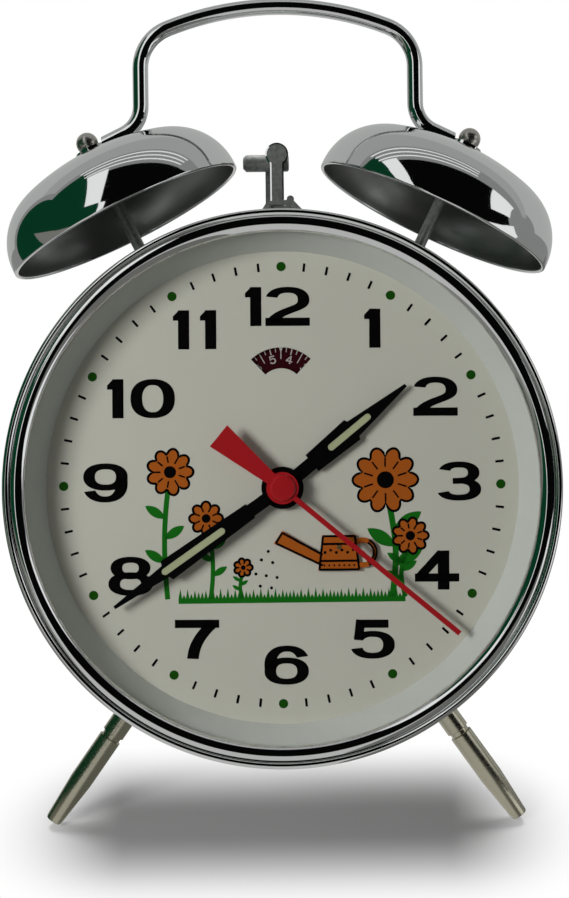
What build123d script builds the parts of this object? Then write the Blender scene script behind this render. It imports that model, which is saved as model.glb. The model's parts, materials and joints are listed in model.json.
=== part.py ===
from build123d import *
import os
from math import asin, atan2, cos, degrees, hypot, pi, radians, sin, sqrt

os.makedirs("parts", exist_ok=True)

# Stance and clearances. Places are (right, up) on the dial; depths run back from the bezel's front
lean = 19.0  # degrees by which the dial leans back
overrun = 1.0  # how far a cut runs past its wall
running_fit = 0.05  # radial clearance of a turning pivot
slip_fit = 0.1  # radial clearance of a piece that slips in by hand
moving_gap = 0.3  # space between pieces that pass each other
seat_gap = 0.02  # hairline between clamped pieces

# Bezel, glass and drum
bezel_radius = 58.0
bezel_band = 4.5
bezel_depth = 7.0
bezel_lip = 3.0
bezel_skirt = 1.0
bezel_bead = 0.75
inner_crest_shares = (0.25, 0.14)  # across the lip and into its depth
bezel_edge_share = 0.73
glass_thickness = 1.6
drum_wall = 0.8
drum_depth = 60.0
drum_flange = 4.0
bezel_opening = bezel_radius - bezel_band
drum_radius = bezel_radius - bezel_skirt - slip_fit
drum_bore = drum_radius - drum_wall
glass_front = bezel_lip + seat_gap
glass_back = glass_front + glass_thickness
drum_front = glass_back + seat_gap

# Dial and the ring that frames it
ring_edge = 2.0
ring_slope = 3.5
dial_depth = 12.0
dial_thickness = 0.6
dial_radius = drum_bore - slip_fit
ring_front_radius = dial_radius - ring_edge
ring_rear_radius = ring_front_radius - ring_slope
dial_back = dial_depth + dial_thickness
dial_foot_radius = 1.2
dial_foot_places = ((-31.0, 17.0), (27.0, 28.0), (-16.0, -31.0))
window_inner = 4.9
window_outer = 9.4
window_half_angle = 43.0

# Movement plates and pillars
plate_middle = (1.0, 2.0)
plate_width = 84.0
plate_height = 78.0
plate_corner = 18.0
front_plate_depth = 18.5
front_plate_thickness = 1.1
back_plate_depth = 43.0
back_plate_thickness = 1.2
pillar_radius = 2.2
pillar_stub = 1.4
pillar_places = ((-34.0, -27.0), (34.5, -27.0), (-31.0, 29.5), (34.0, 30.0))
screw_radius = 1.0
screw_head_radius = 2.1
screw_head_height = 1.2
screw_grip = 7.0
cover_thickness = 1.1
front_plate_back = front_plate_depth + front_plate_thickness
back_plate_back = back_plate_depth + back_plate_thickness
cover_back = drum_depth - drum_wall - seat_gap
cover_front = cover_back - cover_thickness

# Teeth: each pair is a reach in modules from the pitch circle and a half width in tooth pitches
wheel_tooth_shares = ((-1.15, 0.235), (0.9, 0.085))
leaf_shares = ((-1.3, 0.155), (0.0, 0.150), (0.6, 0.06))
ratchet_depth_share = 0.13
wheel_thickness = 1.0
leaf_length = 2.2
arbor_radius = 0.5
spoke_count = 4

# Going train: the minute wheel and the seconds arbor share the dial's centre
centre_teeth = 54
third_leaves = 6
third_teeth = 40
seconds_leaves = 6
fourth_teeth = 48
escape_leaves = 6
escape_teeth = 15
third_distance = 10.4
third_heading = 108.0
escape_distance = 10.45
escape_heading = -35.0
centre_wheel_depth = 23.6
third_wheel_depth = 26.5
fourth_wheel_depth = 29.4
escape_wheel_depth = 32.0
escape_radius = 5.5
seconds_arbor_radius = 0.55
centre_tube_radius = 1.2

# Lever, balance and regulator
lever_distance = 7.6
lever_heading = -63.9
lever_depth = 33.9
lever_thickness = 1.0
lever_bar = 1.6
fork_reach = 8.8
fork_gap = 1.0
fork_prong = 0.7
pallet_pin_radius = 0.3
pallet_half_angle = 42.0
lever_swing = 6.0
balance_distance = 12.2
balance_radius = 9.5
balance_rim = 1.5
balance_depth = 37.0
balance_thickness = 1.6
roller_radius = 3.3
roller_thickness = 0.7
impulse_orbit = 2.5
impulse_pin_radius = 0.3
collet_radius = 1.2
hairspring_depth = 40.0
hairspring_height = 0.8
hairspring_thickness = 0.18
hairspring_inner = 1.4
hairspring_growth = 0.28
hairspring_halves = 14
stud_radius = 0.7
regulator_boss = 2.0
regulator_ring = 3.8
regulator_thickness = 0.8
regulator_reach = 9.0
regulator_width = 1.8
regulator_pin = 0.8
regulator_swing = 18.0

# Motion work and alarm setting
hour_teeth = 32
alarm_teeth = 32
motion_leaves = 8
motion_teeth = 30
cannon_leaves = 10
alarm_height = 20.6
hour_wheel_depth = 14.0
motion_wheel_depth = 15.9
cannon_pipe_radius = 1.75
hour_pipe_radius = 2.4
set_arbor_radius = 1.2
alarm_disc_depth = 12.95
alarm_disc_thickness = 0.4
alarm_disc_radius = 10.2
alarm_hub_radius = 2.6
alarm_hub_length = 0.9
release_spring_length = 17.0
release_spring_width = 4.0
release_spring_thickness = 0.4
knob_radius = 4.6
knob_length = 6.0
knob_flutes = 18
knob_flute_shares = ((-0.25, 0.30), (0.25, 0.18))
knob_standoff = 1.2

# Hands, turned clockwise from twelve o'clock
hour_angle = 50.9
minute_angle = 235.2
second_angle = 130.0
hand_thickness = 0.5
hour_hand_depth = 10.0
minute_hand_depth = 8.6
second_hand_depth = 7.0
hub_radius = 4.5
minute_boss = 3.2
hour_hand_length = 34.1
hour_step_shares = (0.24, 0.565, 0.575)
hour_half_widths = (1.45, 2.2, 2.7, 2.0, 0.35)
hour_slot_shares = (0.375, 0.71)
minute_hand_length = 43.7
minute_step_shares = (0.19, 0.687, 0.696)
minute_half_widths = (1.4, 1.75, 2.35, 1.4, 0.35)
minute_slot_shares = (0.345, 0.715)
slot_width = 1.45
second_hand_length = 48.3
second_tail_length = 17.5
second_half_widths = (0.8, 0.3)
second_tail_half_widths = (0.9, 2.8)
second_hub_radius = 3.4
second_cap_radius = 2.9
second_cap_height = 0.7

# Rocking dial figure, a watering can on the front end of the lever arbor
figure_depth = 11.0
figure_thickness = 0.5
can_width = 9.0
can_height = 7.6
can_taper = 0.9
spout_reach = 8.5
spout_rise = 5.0
spout_width = 1.8
rose_width = 3.6
loop_radius = 3.2
loop_wire = 1.1
can_drop = 1.2

# Spring drives: one for the time train, one for the alarm
main_teeth = 48
centre_leaves = 8
alarm_leaves = 8
time_distance = 24.5
time_heading = 180.0
alarm_main_place = (27.0, 4.0)
alarm_distance = 21.0
alarm_heading = 126.3
main_wheel_depth = 20.7
main_wheel_thickness = 1.5
winding_radius = 2.0
winding_pivot = 1.2
winding_end = 1.5
winding_end_length = 6.0
ratchet_teeth = 24
ratchet_radius = 6.0
ratchet_thickness = 1.0
click_orbit = 10.0
click_lead = 35.0
click_radius = 1.7
click_bite_share = 0.45
click_lead_in = 3.0
click_stud = 0.8
mainspring_depth = 24.4
mainspring_height = 12.0
mainspring_thickness = 0.4
mainspring_inner = 2.35
mainspring_growth = 0.78
mainspring_halves = 14
anchor_radius = 1.3
anchor_headings = {"time": -100.0, "alarm": -70.0}
key_hub_radius = 3.2
key_hub_length = 7.0
key_wing_radius = 5.6
key_wing_centre = 6.6
key_wing_thickness = 1.6
key_standoff = 1.6

# Alarm strike
alarm_escape_depth = 24.2
alarm_escape_teeth = 15
alarm_escape_radius = 6.0
hammer_place = (8.0, 31.0)
hammer_plate_depth = 24.2
hammer_plate_thickness = 1.0
hammer_strip_depth = 29.0
hammer_strip_thickness = 0.8
hammer_width = 3.0
knee_inset = 1.1
hammer_side = -0.4
hammer_rise = 16.6
hammer_head_radius = 2.55
hammer_strip_shift = 2.2
hammer_hub_radius = 2.4
hammer_arbor_radius = 1.0
hammer_low = 1.0
hammer_high = 9.0
pallet_span = 50.0
pallet_width = 1.2
anchor_arm_width = 2.0
striker_radius = 1.9
striker_length = 10.2
striker_offset = 2.65
striker_drop = 1.5
striker_chamfer = 0.7
guide_left = -4.2
guide_right = 5.4
slot_left = -4.0
slot_right = 6.2
guide_front = 22.6
guide_back = 31.6
guide_wall = 0.8
guide_base = 1.0
guide_height = 6.2
guide_skirt = 2.2
guide_curl_radius = 0.9
guide_curl_side = 2.4
stop_side = -3.4
stop_inset = 6.1
stop_radius = 1.2
stop_inner_end = 31.2
stop_button_radius = 2.6
stop_button_length = 3.0
stop_travel = 5.0
stop_bush_radius = 2.2
stop_bush_length = 5.0
hammer_knee = drum_bore - knee_inset
hammer_top = (hammer_side, drum_radius + hammer_rise)
stop_place = (stop_side, drum_bore - stop_inset)

# Bells, posts and cap nuts
bell_depth = 27.0
bell_side = 33.9
bell_rise = 2.05
bell_tilt = 26.0
bell_radius = 27.4
bell_height = 17.2
bell_wall = 0.9
bell_crown_radius = 54.3
bell_shoulder_radius = 13.5
post_radius = 1.3
post_stud = 1.0
post_collar_radius = 2.4
post_collar_height = 1.4
post_collar_lift = 0.35
post_tail = 4.0
case_nut_radius = 2.7
case_nut_height = 1.6
cap_radius = 2.45
cap_base_share = 0.8
cap_thread_depth = 2.4
bell_place = (bell_side, drum_radius + bell_rise)

# Carry handle
wire_radius = 1.75
handle_rise = 50.0
handle_half_width = 30.6
handle_arch_radius = 67.2
handle_shoulder_radius = 9.5
handle_flare_radius = 7.0
handle_tab_rise = 0.9
handle_eye_radius = 3.5
handle_eye_thickness = 1.2
handle_top = drum_radius + handle_rise

# Feet
foot_depth = 15.2
foot_splay = 35.2
foot_radius = 2.45
foot_tip_radius = 1.65
foot_groove_start = 7.62
foot_groove_width = 0.8
foot_groove_depth = 0.4
foot_straight = 19.72
foot_stud_radius = 1.4
foot_stud_length = 3.6
foot_lift = 0.08


# The dial's plane: X to the right, Y up the dial, Z out of the bezel
tilt = radians(lean)
centre_height = drum_radius * cos(tilt) + drum_depth * sin(tilt)
stop_front = cover_back + stop_travel + moving_gap
front_edge = (bezel_radius - bezel_bead) * sin(tilt) + bezel_bead * (1 - cos(tilt))
rear_edge = (stop_place[1] + stop_button_radius) * sin(tilt) + (stop_front + stop_button_length) * cos(tilt)
front_reach = (rear_edge - front_edge) / 2
face = Plane(origin=(0, -front_reach, centre_height), x_dir=(1, 0, 0), z_dir=(0, -cos(tilt), sin(tilt)))
centre = (0, 0)


# A plane parallel to the dial, through a place at a depth
def station(place, depth):
    return Plane(face.from_local_coords((place[0], place[1], -depth)), x_dir=face.x_dir, z_dir=face.z_dir)


# A plane through an arbor: X is the radius, Y the depth
def section(place):
    return Plane(face.from_local_coords((place[0], place[1], 0)), x_dir=face.x_dir, z_dir=face.y_dir)


# A plane along a spindle that lies in the dial's plane: Y runs along it, heading clockwise from up
def spindle(place, heading, depth):
    right = face.x_dir * cos(heading) - face.y_dir * sin(heading)
    return Plane(face.from_local_coords((place[0], place[1], -depth)), x_dir=right, z_dir=face.z_dir)


# The same plane turned counter-clockwise in itself, in degrees
def spun(plane, angle):
    right = plane.x_dir * cos(radians(angle)) + plane.y_dir * sin(radians(angle))
    return Plane(plane.origin, x_dir=right, z_dir=plane.z_dir)


# A place at a distance from another, heading counter-clockwise from the right, in degrees
def polar(start, distance, heading):
    return (start[0] + distance * cos(radians(heading)), start[1] + distance * sin(radians(heading)))


# Turn an outline of (radius, position) points about the plane's Y axis
def lathe(plane, points, mode=Mode.ADD):
    with BuildSketch(plane) as outline:
        with BuildLine():
            Polyline(*points, close=True)
        make_face()
    revolve(outline.sketch, axis=Axis(plane.origin, plane.y_dir), mode=mode)


# A stepped arbor: each step is a radius with the depths where it starts and ends
def turned(place, *steps):
    points = [(0, steps[0][1])]
    for radius, start, end in steps:
        points += [(radius, start), (radius, end)]
    points.append((0, steps[-1][2]))
    lathe(section(place), points)


# A round disc, boss or hole square to the dial
def disc(place, depth, thickness, radius, mode=Mode.ADD):
    with BuildSketch(station(place, depth)) as outline:
        Circle(radius)
    extrude(outline.sketch, amount=-thickness, mode=mode)


# A toothed outline, with one tooth's middle at the phase angle
def toothed(place, depth, teeth, module, phase, shares):
    pitch = 2 * pi / teeth
    flank = [(module * (teeth / 2 + reach), half * pitch) for reach, half in shares]
    corners = []
    for tooth in range(teeth):
        middle = phase + tooth * pitch
        corners += [(radius, middle - half) for radius, half in flank]
        corners += [(radius, middle + half) for radius, half in reversed(flank)]
    with BuildSketch(station(place, depth)) as outline:
        with BuildLine():
            Polyline(*[(r * cos(a), r * sin(a)) for r, a in corners], close=True)
        make_face()
    return outline.sketch


# A saw-toothed outline whose steep faces look counter-clockwise
def sawtoothed(place, depth, teeth, radius, root, phase):
    pitch = 2 * pi / teeth
    corners = []
    for tooth in range(teeth):
        corners += [(radius, phase + tooth * pitch), (root, phase + tooth * pitch)]
    with BuildSketch(station(place, depth)) as outline:
        with BuildLine():
            Polyline(*[(r * cos(a), r * sin(a)) for r, a in corners], close=True)
        make_face()
    return outline.sketch


# Windows between the spokes of a wheel
def cross_out(place, depth, thickness, rim, hub, width):
    with BuildSketch(station(place, depth)) as windows:
        Circle(rim)
        Circle(hub, mode=Mode.SUBTRACT)
        with PolarLocations(0, spoke_count):
            Rectangle(rim + overrun, width, align=(Align.MIN, Align.CENTER), mode=Mode.SUBTRACT)
    extrude(windows.sketch, amount=-thickness, mode=Mode.SUBTRACT)


# Phase of a wheel that meshes with a first wheel of known phase
def meshed(first, first_teeth, first_phase, second, second_teeth):
    heading = atan2(second[1] - first[1], second[0] - first[0])
    return heading + pi - (first_phase - heading) * first_teeth / second_teeth - pi / second_teeth


# A spiral strip of half turns, each wider than the last, ending in a loop round its anchor
def spiral(plane, inner, growth, halves, thickness, loop):
    with BuildSketch(plane) as strip:
        with BuildLine():
            for half in range(halves):
                middle = (growth * (half % 2), 0)
                start = 180 * (half % 2)
                CenterArc(middle, inner + half * growth + thickness / 2, start, 180)
                CenterArc(middle, inner + half * growth - thickness / 2, start, 180)
            Line((inner - thickness / 2, 0), (inner + thickness / 2, 0))
            reach = spiral_reach(inner, growth, halves)
            Line((reach - thickness / 2, 0), (reach + thickness / 2, 0))
        make_face()
        with Locations((reach + loop + thickness / 2, 0)):
            Circle(loop + thickness)
            Circle(loop, mode=Mode.SUBTRACT)
    return strip.sketch


# Where a spiral of an even number of half turns ends, along its plane's X axis
def spiral_reach(inner, growth, halves):
    return growth * ((halves - 1) % 2) + inner + (halves - 1) * growth


# Arbor places
third_place = polar(centre, third_distance, third_heading)
escape_place = polar(centre, escape_distance, escape_heading)
lever_place = polar(escape_place, lever_distance, lever_heading)
balance_place = polar(lever_place, balance_distance, lever_heading)
alarm_place = (0, alarm_height)
motion_module = 2 * alarm_height / (hour_teeth + alarm_teeth)
motion_place = (0, -motion_module * (hour_teeth + motion_leaves) / 2)
time_place = polar(centre, time_distance, time_heading)
alarm_escape_place = polar(alarm_main_place, alarm_distance, alarm_heading)

# Tooth modules and mesh phases
centre_module = 2 * third_distance / (centre_teeth + third_leaves)
third_module = 2 * third_distance / (third_teeth + seconds_leaves)
fourth_module = 2 * escape_distance / (fourth_teeth + escape_leaves)
time_module = 2 * time_distance / (main_teeth + centre_leaves)
alarm_module = 2 * alarm_distance / (main_teeth + alarm_leaves)
third_leaf_phase = meshed(centre, centre_teeth, 0, third_place, third_leaves)
seconds_phase = meshed(third_place, third_teeth, 0, centre, seconds_leaves)
escape_leaf_phase = meshed(centre, fourth_teeth, 0, escape_place, escape_leaves)
motion_phase = meshed(centre, cannon_leaves, 0, motion_place, motion_teeth)
motion_leaf_phase = meshed(centre, hour_teeth, 0, motion_place, motion_leaves)
alarm_phase = meshed(centre, hour_teeth, 0, alarm_place, alarm_teeth)
centre_leaf_phase = meshed(time_place, main_teeth, 0, centre, centre_leaves)
alarm_leaf_phase = meshed(alarm_main_place, main_teeth, 0, alarm_escape_place, alarm_leaves)

nodes = {}

# Case drum with its rear flange, foot and post holes and the hammer's slot
bell_heading = radians(bell_tilt)
bell_along = bell_place[0] * sin(bell_heading) + bell_place[1] * cos(bell_heading)
bell_beyond = bell_place[0] ** 2 + bell_place[1] ** 2 - drum_radius**2
post_stand = bell_along - sqrt(bell_along**2 - bell_beyond)
foot_heading = radians(180 - foot_splay)
slot_front = hammer_plate_depth - overrun
slot_back = hammer_strip_depth + hammer_strip_thickness + overrun
with BuildPart() as case_drum:
    lathe(
        section(centre),
        (
            (drum_radius, drum_front),
            (drum_radius, drum_depth),
            (drum_radius - drum_flange, drum_depth),
            (drum_radius - drum_flange, drum_depth - drum_wall),
            (drum_bore, drum_depth - drum_wall),
            (drum_bore, drum_front),
        ),
    )
    for side in (-1, 1):
        foot_bore = spindle(centre, side * foot_heading, foot_depth)
        wall = ((0, drum_bore - overrun), (foot_stud_radius + slip_fit, drum_bore - overrun))
        wall += ((foot_stud_radius + slip_fit, drum_radius + overrun), (0, drum_radius + overrun))
        lathe(foot_bore, wall, mode=Mode.SUBTRACT)
        post_bore = spindle((side * bell_place[0], bell_place[1]), side * bell_heading, bell_depth)
        wall = ((0, -post_stand - post_tail), (post_radius + slip_fit, -post_stand - post_tail))
        wall += ((post_radius + slip_fit, -post_stand + overrun), (0, -post_stand + overrun))
        lathe(post_bore, wall, mode=Mode.SUBTRACT)
    with BuildSketch(station(centre, slot_front)) as slot:
        with Locations(((slot_left + slot_right) / 2, drum_bore)):
            Rectangle(slot_right - slot_left, drum_wall + 2 * guide_skirt)
    extrude(slot.sketch, amount=slot_front - slot_back, mode=Mode.SUBTRACT)
nodes["case_drum"] = case_drum

# Bezel: two rolled beads with a valley between them, and a skirt over the drum
with BuildPart() as bezel:
    with BuildSketch(section(centre)) as rolled:
        with BuildLine():
            edge = (bezel_opening, bezel_lip * bezel_edge_share)
            crest = (bezel_opening + bezel_band * inner_crest_shares[0], bezel_lip * inner_crest_shares[1])
            valley = (bezel_radius - 2 * bezel_bead, bezel_bead)
            rim_crest = (bezel_radius - bezel_bead, 0)
            side = (bezel_radius, bezel_bead)
            ThreePointArc(edge, crest, valley)
            ThreePointArc(valley, rim_crest, side)
            Polyline(
                side,
                (bezel_radius, bezel_depth),
                (bezel_radius - bezel_skirt, bezel_depth),
                (bezel_radius - bezel_skirt, bezel_lip),
                (bezel_opening, bezel_lip),
                edge,
            )
        make_face()
    revolve(rolled.sketch, axis=Axis(face.origin, face.z_dir))
nodes["bezel"] = bezel

# Flat front glass, held between the bezel's lip and the drum's front edge
with BuildPart() as front_glass:
    disc(centre, glass_front, glass_thickness, drum_radius - slip_fit)
nodes["front_glass"] = front_glass

# Sloping ring between glass and dial
with BuildPart() as dial_ring:
    lathe(
        section(centre),
        (
            (ring_front_radius, glass_back + seat_gap),
            (dial_radius, glass_back + seat_gap),
            (dial_radius, dial_depth - seat_gap),
            (ring_rear_radius, dial_depth - seat_gap),
        ),
    )
nodes["dial_ring"] = dial_ring

# Dial plate with the hands' hole, the alarm window and its three feet
with BuildPart() as dial:
    disc(centre, dial_depth, dial_thickness, dial_radius)
    disc(centre, dial_depth, dial_thickness, hour_pipe_radius + moving_gap, mode=Mode.SUBTRACT)
    disc(lever_place, dial_depth, dial_thickness, arbor_radius + moving_gap, mode=Mode.SUBTRACT)
    with BuildSketch(station(alarm_place, dial_depth)) as window:
        with BuildLine():
            first = 90 - window_half_angle
            outer = CenterArc((0, 0), window_outer, first, 2 * window_half_angle)
            inner = CenterArc((0, 0), window_inner, first, 2 * window_half_angle)
            Line(outer @ 0, inner @ 0)
            Line(outer @ 1, inner @ 1)
        make_face()
    extrude(window.sketch, amount=-dial_thickness, mode=Mode.SUBTRACT)
    for place in dial_foot_places:
        disc(place, dial_back, front_plate_depth - seat_gap - dial_back, dial_foot_radius)
nodes["dial"] = dial

# Movement plates
plate_arbors = (third_place, escape_place, lever_place, balance_place, alarm_escape_place)


# The plate's rounded outline with the holes that both plates share
def movement_plate(depth, thickness):
    with BuildSketch(station(plate_middle, depth)) as outline:
        RectangleRounded(plate_width, plate_height, plate_corner)
    extrude(outline.sketch, amount=-thickness)
    for place in plate_arbors:
        disc(place, depth, thickness, arbor_radius + running_fit, mode=Mode.SUBTRACT)
    for place in (motion_place, alarm_place):
        disc(place, depth, thickness, set_arbor_radius + running_fit, mode=Mode.SUBTRACT)
    disc(hammer_place, depth, thickness, hammer_arbor_radius + running_fit, mode=Mode.SUBTRACT)


with BuildPart() as front_plate:
    movement_plate(front_plate_depth, front_plate_thickness)
    tube_bore = centre_tube_radius + running_fit
    disc(centre, front_plate_depth, front_plate_thickness, tube_bore, mode=Mode.SUBTRACT)
    for place in (time_place, alarm_main_place):
        disc(place, front_plate_depth, front_plate_thickness, winding_pivot + running_fit, mode=Mode.SUBTRACT)
    for place in pillar_places:
        disc(place, front_plate_depth, front_plate_thickness, pillar_stub + seat_gap, mode=Mode.SUBTRACT)
nodes["front_plate"] = front_plate

spring_reach = spiral_reach(mainspring_inner, mainspring_growth, mainspring_halves)
anchor_distance = spring_reach + anchor_radius + slip_fit + mainspring_thickness / 2
drive_places = {"time": time_place, "alarm": alarm_main_place}
stud_reach = spiral_reach(hairspring_inner, hairspring_growth, hairspring_halves)
stud_distance = stud_reach + stud_radius + slip_fit + hairspring_thickness / 2
stud_place = polar(balance_place, stud_distance, lever_heading)
with BuildPart() as back_plate:
    movement_plate(back_plate_depth, back_plate_thickness)
    disc(balance_place, back_plate_back, regulator_thickness + moving_gap, regulator_boss)
    for side, place in drive_places.items():
        anchor = polar(place, anchor_distance, anchor_headings[side])
        disc(anchor, mainspring_depth, back_plate_depth - mainspring_depth, anchor_radius)
        disc(place, back_plate_depth, back_plate_thickness, winding_radius + running_fit, mode=Mode.SUBTRACT)
    disc(stud_place, hairspring_depth, back_plate_depth - hairspring_depth, stud_radius)
    seconds_bore = seconds_arbor_radius + running_fit
    disc(centre, back_plate_depth, back_plate_thickness, seconds_bore, mode=Mode.SUBTRACT)
    staff_bore = back_plate_thickness + regulator_thickness + moving_gap
    disc(balance_place, back_plate_depth, staff_bore, arbor_radius + running_fit, mode=Mode.SUBTRACT)
    for place in pillar_places:
        disc(place, back_plate_depth, back_plate_thickness, screw_radius + slip_fit, mode=Mode.SUBTRACT)
nodes["back_plate"] = back_plate

# Pillars between the plates, spacers behind them, and the screws through the back cover
with BuildPart() as plate_pillars:
    for place in pillar_places:
        turned(
            place,
            (pillar_stub, front_plate_depth, front_plate_back + seat_gap),
            (pillar_radius, front_plate_back + seat_gap, back_plate_depth - seat_gap),
        )
        screw_hole = screw_grip + overrun
        disc(place, back_plate_depth - screw_hole, screw_hole, screw_radius + seat_gap, mode=Mode.SUBTRACT)
nodes["plate_pillars"] = plate_pillars

spacer_front = back_plate_back + seat_gap
spacer_length = cover_front - seat_gap - spacer_front
with BuildPart() as cover_spacers:
    for place in pillar_places:
        disc(place, spacer_front, spacer_length, pillar_radius)
        disc(place, spacer_front, spacer_length, screw_radius + slip_fit, mode=Mode.SUBTRACT)
nodes["cover_spacers"] = cover_spacers

with BuildPart() as back_cover_screws:
    for place in pillar_places:
        turned(
            place,
            (screw_radius, back_plate_depth - screw_grip, cover_back + seat_gap),
            (screw_head_radius, cover_back + seat_gap, cover_back + seat_gap + screw_head_height),
        )
nodes["back_cover_screws"] = back_cover_screws

# Back cover with holes for the keys, knobs, regulator and alarm stop
with BuildPart() as back_cover:
    disc(centre, cover_front, cover_thickness, dial_radius)
    disc(stop_place, cover_front - stop_bush_length, stop_bush_length, stop_bush_radius)
    for place in drive_places.values():
        disc(place, cover_front, cover_thickness, winding_radius + moving_gap, mode=Mode.SUBTRACT)
    for place in (motion_place, alarm_place):
        disc(place, cover_front, cover_thickness, set_arbor_radius + moving_gap, mode=Mode.SUBTRACT)
    for place in pillar_places:
        disc(place, cover_front, cover_thickness, screw_radius + slip_fit, mode=Mode.SUBTRACT)
    stop_bore = stop_bush_length + cover_thickness
    disc(stop_place, cover_front - stop_bush_length, stop_bore, stop_radius + running_fit, mode=Mode.SUBTRACT)
    with BuildSketch(station(balance_place, cover_front)) as regulator_slot:
        half = regulator_pin + moving_gap
        first = -90 - regulator_swing
        with BuildLine():
            outer = CenterArc((0, 0), regulator_reach + half, first, 2 * regulator_swing)
            inner = CenterArc((0, 0), regulator_reach - half, first, 2 * regulator_swing)
            Line(outer @ 0, inner @ 0)
            Line(outer @ 1, inner @ 1)
        make_face()
        with Locations(polar(centre, regulator_reach, first), polar(centre, regulator_reach, -180 - first)):
            Circle(half)
    extrude(regulator_slot.sketch, amount=-cover_thickness, mode=Mode.SUBTRACT)
nodes["back_cover"] = back_cover

# Splayed feet with a groove, a taper and a threaded stud
foot_rim_drop = foot_tip_radius * hypot(sin(radians(foot_splay)) * cos(tilt), sin(tilt))
foot_height = centre_height - foot_depth * sin(tilt) - foot_rim_drop
foot_reach = foot_height / (cos(radians(foot_splay)) * cos(tilt))
foot_root = drum_radius + foot_lift
foot_groove_reach = foot_root + foot_groove_start
foot_taper_reach = foot_root + foot_straight
groove_end = foot_groove_reach + foot_groove_width
for name, side in (("foot_left", -1), ("foot_right", 1)):
    with BuildPart() as foot:
        lathe(
            spindle(centre, side * foot_heading, foot_depth),
            (
                (0, drum_bore - foot_stud_length),
                (foot_stud_radius, drum_bore - foot_stud_length),
                (foot_stud_radius, foot_root),
                (foot_radius, foot_root),
                (foot_radius, foot_groove_reach),
                (foot_radius - foot_groove_depth, foot_groove_reach),
                (foot_radius - foot_groove_depth, groove_end),
                (foot_radius, groove_end),
                (foot_radius, foot_taper_reach),
                (foot_tip_radius, foot_reach),
                (0, foot_reach),
            ),
        )
    nodes[name] = foot

# Bells: a straight rim, a rounded shoulder and a shallow crown, on posts with cap nuts
crown_middle = bell_height - bell_crown_radius
shoulder_side = bell_radius - bell_shoulder_radius
shoulder_height = crown_middle + sqrt((bell_crown_radius - bell_shoulder_radius) ** 2 - shoulder_side**2)
crown_angle = degrees(atan2(shoulder_height - crown_middle, shoulder_side))
eye_base = bell_height + seat_gap
nut_base = eye_base + handle_eye_thickness + seat_gap
for name, side in (("left", -1), ("right", 1)):
    stand = spindle((side * bell_place[0], bell_place[1]), side * bell_heading, bell_depth)
    with BuildPart() as bell:
        with BuildSketch(stand) as shell:
            with BuildLine():
                for inset in (0, bell_wall):
                    Line((bell_radius - inset, 0), (bell_radius - inset, shoulder_height))
                    middle = (shoulder_side, shoulder_height)
                    CenterArc(middle, bell_shoulder_radius - inset, 0, crown_angle)
                    CenterArc((0, crown_middle), bell_crown_radius - inset, crown_angle, 90 - crown_angle)
                Line((bell_radius, 0), (bell_radius - bell_wall, 0))
                Line((0, bell_height), (0, bell_height - bell_wall))
            make_face()
        revolve(shell.sketch, axis=Axis(stand.origin, stand.y_dir))
        bore = post_stud + running_fit
        top = bell_height + overrun
        lathe(stand, ((0, 0), (bore, 0), (bore, top), (0, top)), mode=Mode.SUBTRACT)
    nodes[f"{name}_bell"] = bell
    with BuildPart() as post:
        collar = post_collar_lift - post_stand
        seat = bell_height - bell_wall - seat_gap
        lathe(
            stand,
            (
                (0, -post_stand - post_tail),
                (post_radius, -post_stand - post_tail),
                (post_radius, collar),
                (post_collar_radius, collar),
                (post_collar_radius, collar + post_collar_height),
                (post_radius, collar + post_collar_height),
                (post_radius, seat),
                (post_stud, seat),
                (post_stud, nut_base + cap_thread_depth - seat_gap),
                (0, nut_base + cap_thread_depth - seat_gap),
            ),
        )
    nodes[f"{name}_bell_post"] = post
    with BuildPart() as cap:
        base_radius = cap_radius * cap_base_share
        rise = sqrt(cap_radius**2 - base_radius**2)
        with BuildSketch(stand) as ball:
            with BuildLine():
                foot_edge = (base_radius, nut_base)
                top_edge = (0, nut_base + rise + cap_radius)
                ThreePointArc(foot_edge, (cap_radius, nut_base + rise), top_edge)
                Polyline(top_edge, (0, nut_base), foot_edge)
            make_face()
        revolve(ball.sketch, axis=Axis(stand.origin, stand.y_dir))
        bore = post_stud + seat_gap
        top = nut_base + cap_thread_depth
        lathe(stand, ((0, 0), (bore, 0), (bore, top), (0, top)), mode=Mode.SUBTRACT)
    nodes[f"{name}_bell_nut"] = cap

# Hexagon nuts inside the drum, on the studs of the feet and the bell posts
foot_nut_top = drum_bore - slip_fit
post_nut_top = -post_stand - drum_wall - post_collar_lift
with BuildPart() as case_nuts:
    for side in (-1, 1):
        foot_line = spindle(centre, side * foot_heading, foot_depth)
        post_line = spindle((side * bell_place[0], bell_place[1]), side * bell_heading, bell_depth)
        for line, top, stud in (
            (foot_line, foot_nut_top, foot_stud_radius),
            (post_line, post_nut_top, post_radius),
        ):
            lid = Plane(line.origin + line.y_dir * top, x_dir=line.x_dir, z_dir=-line.y_dir)
            with BuildSketch(lid) as hexagon:
                RegularPolygon(case_nut_radius, 6)
                Circle(stud + seat_gap, mode=Mode.SUBTRACT)
            extrude(hexagon.sketch, amount=case_nut_height)
nodes["case_nuts"] = case_nuts

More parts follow.
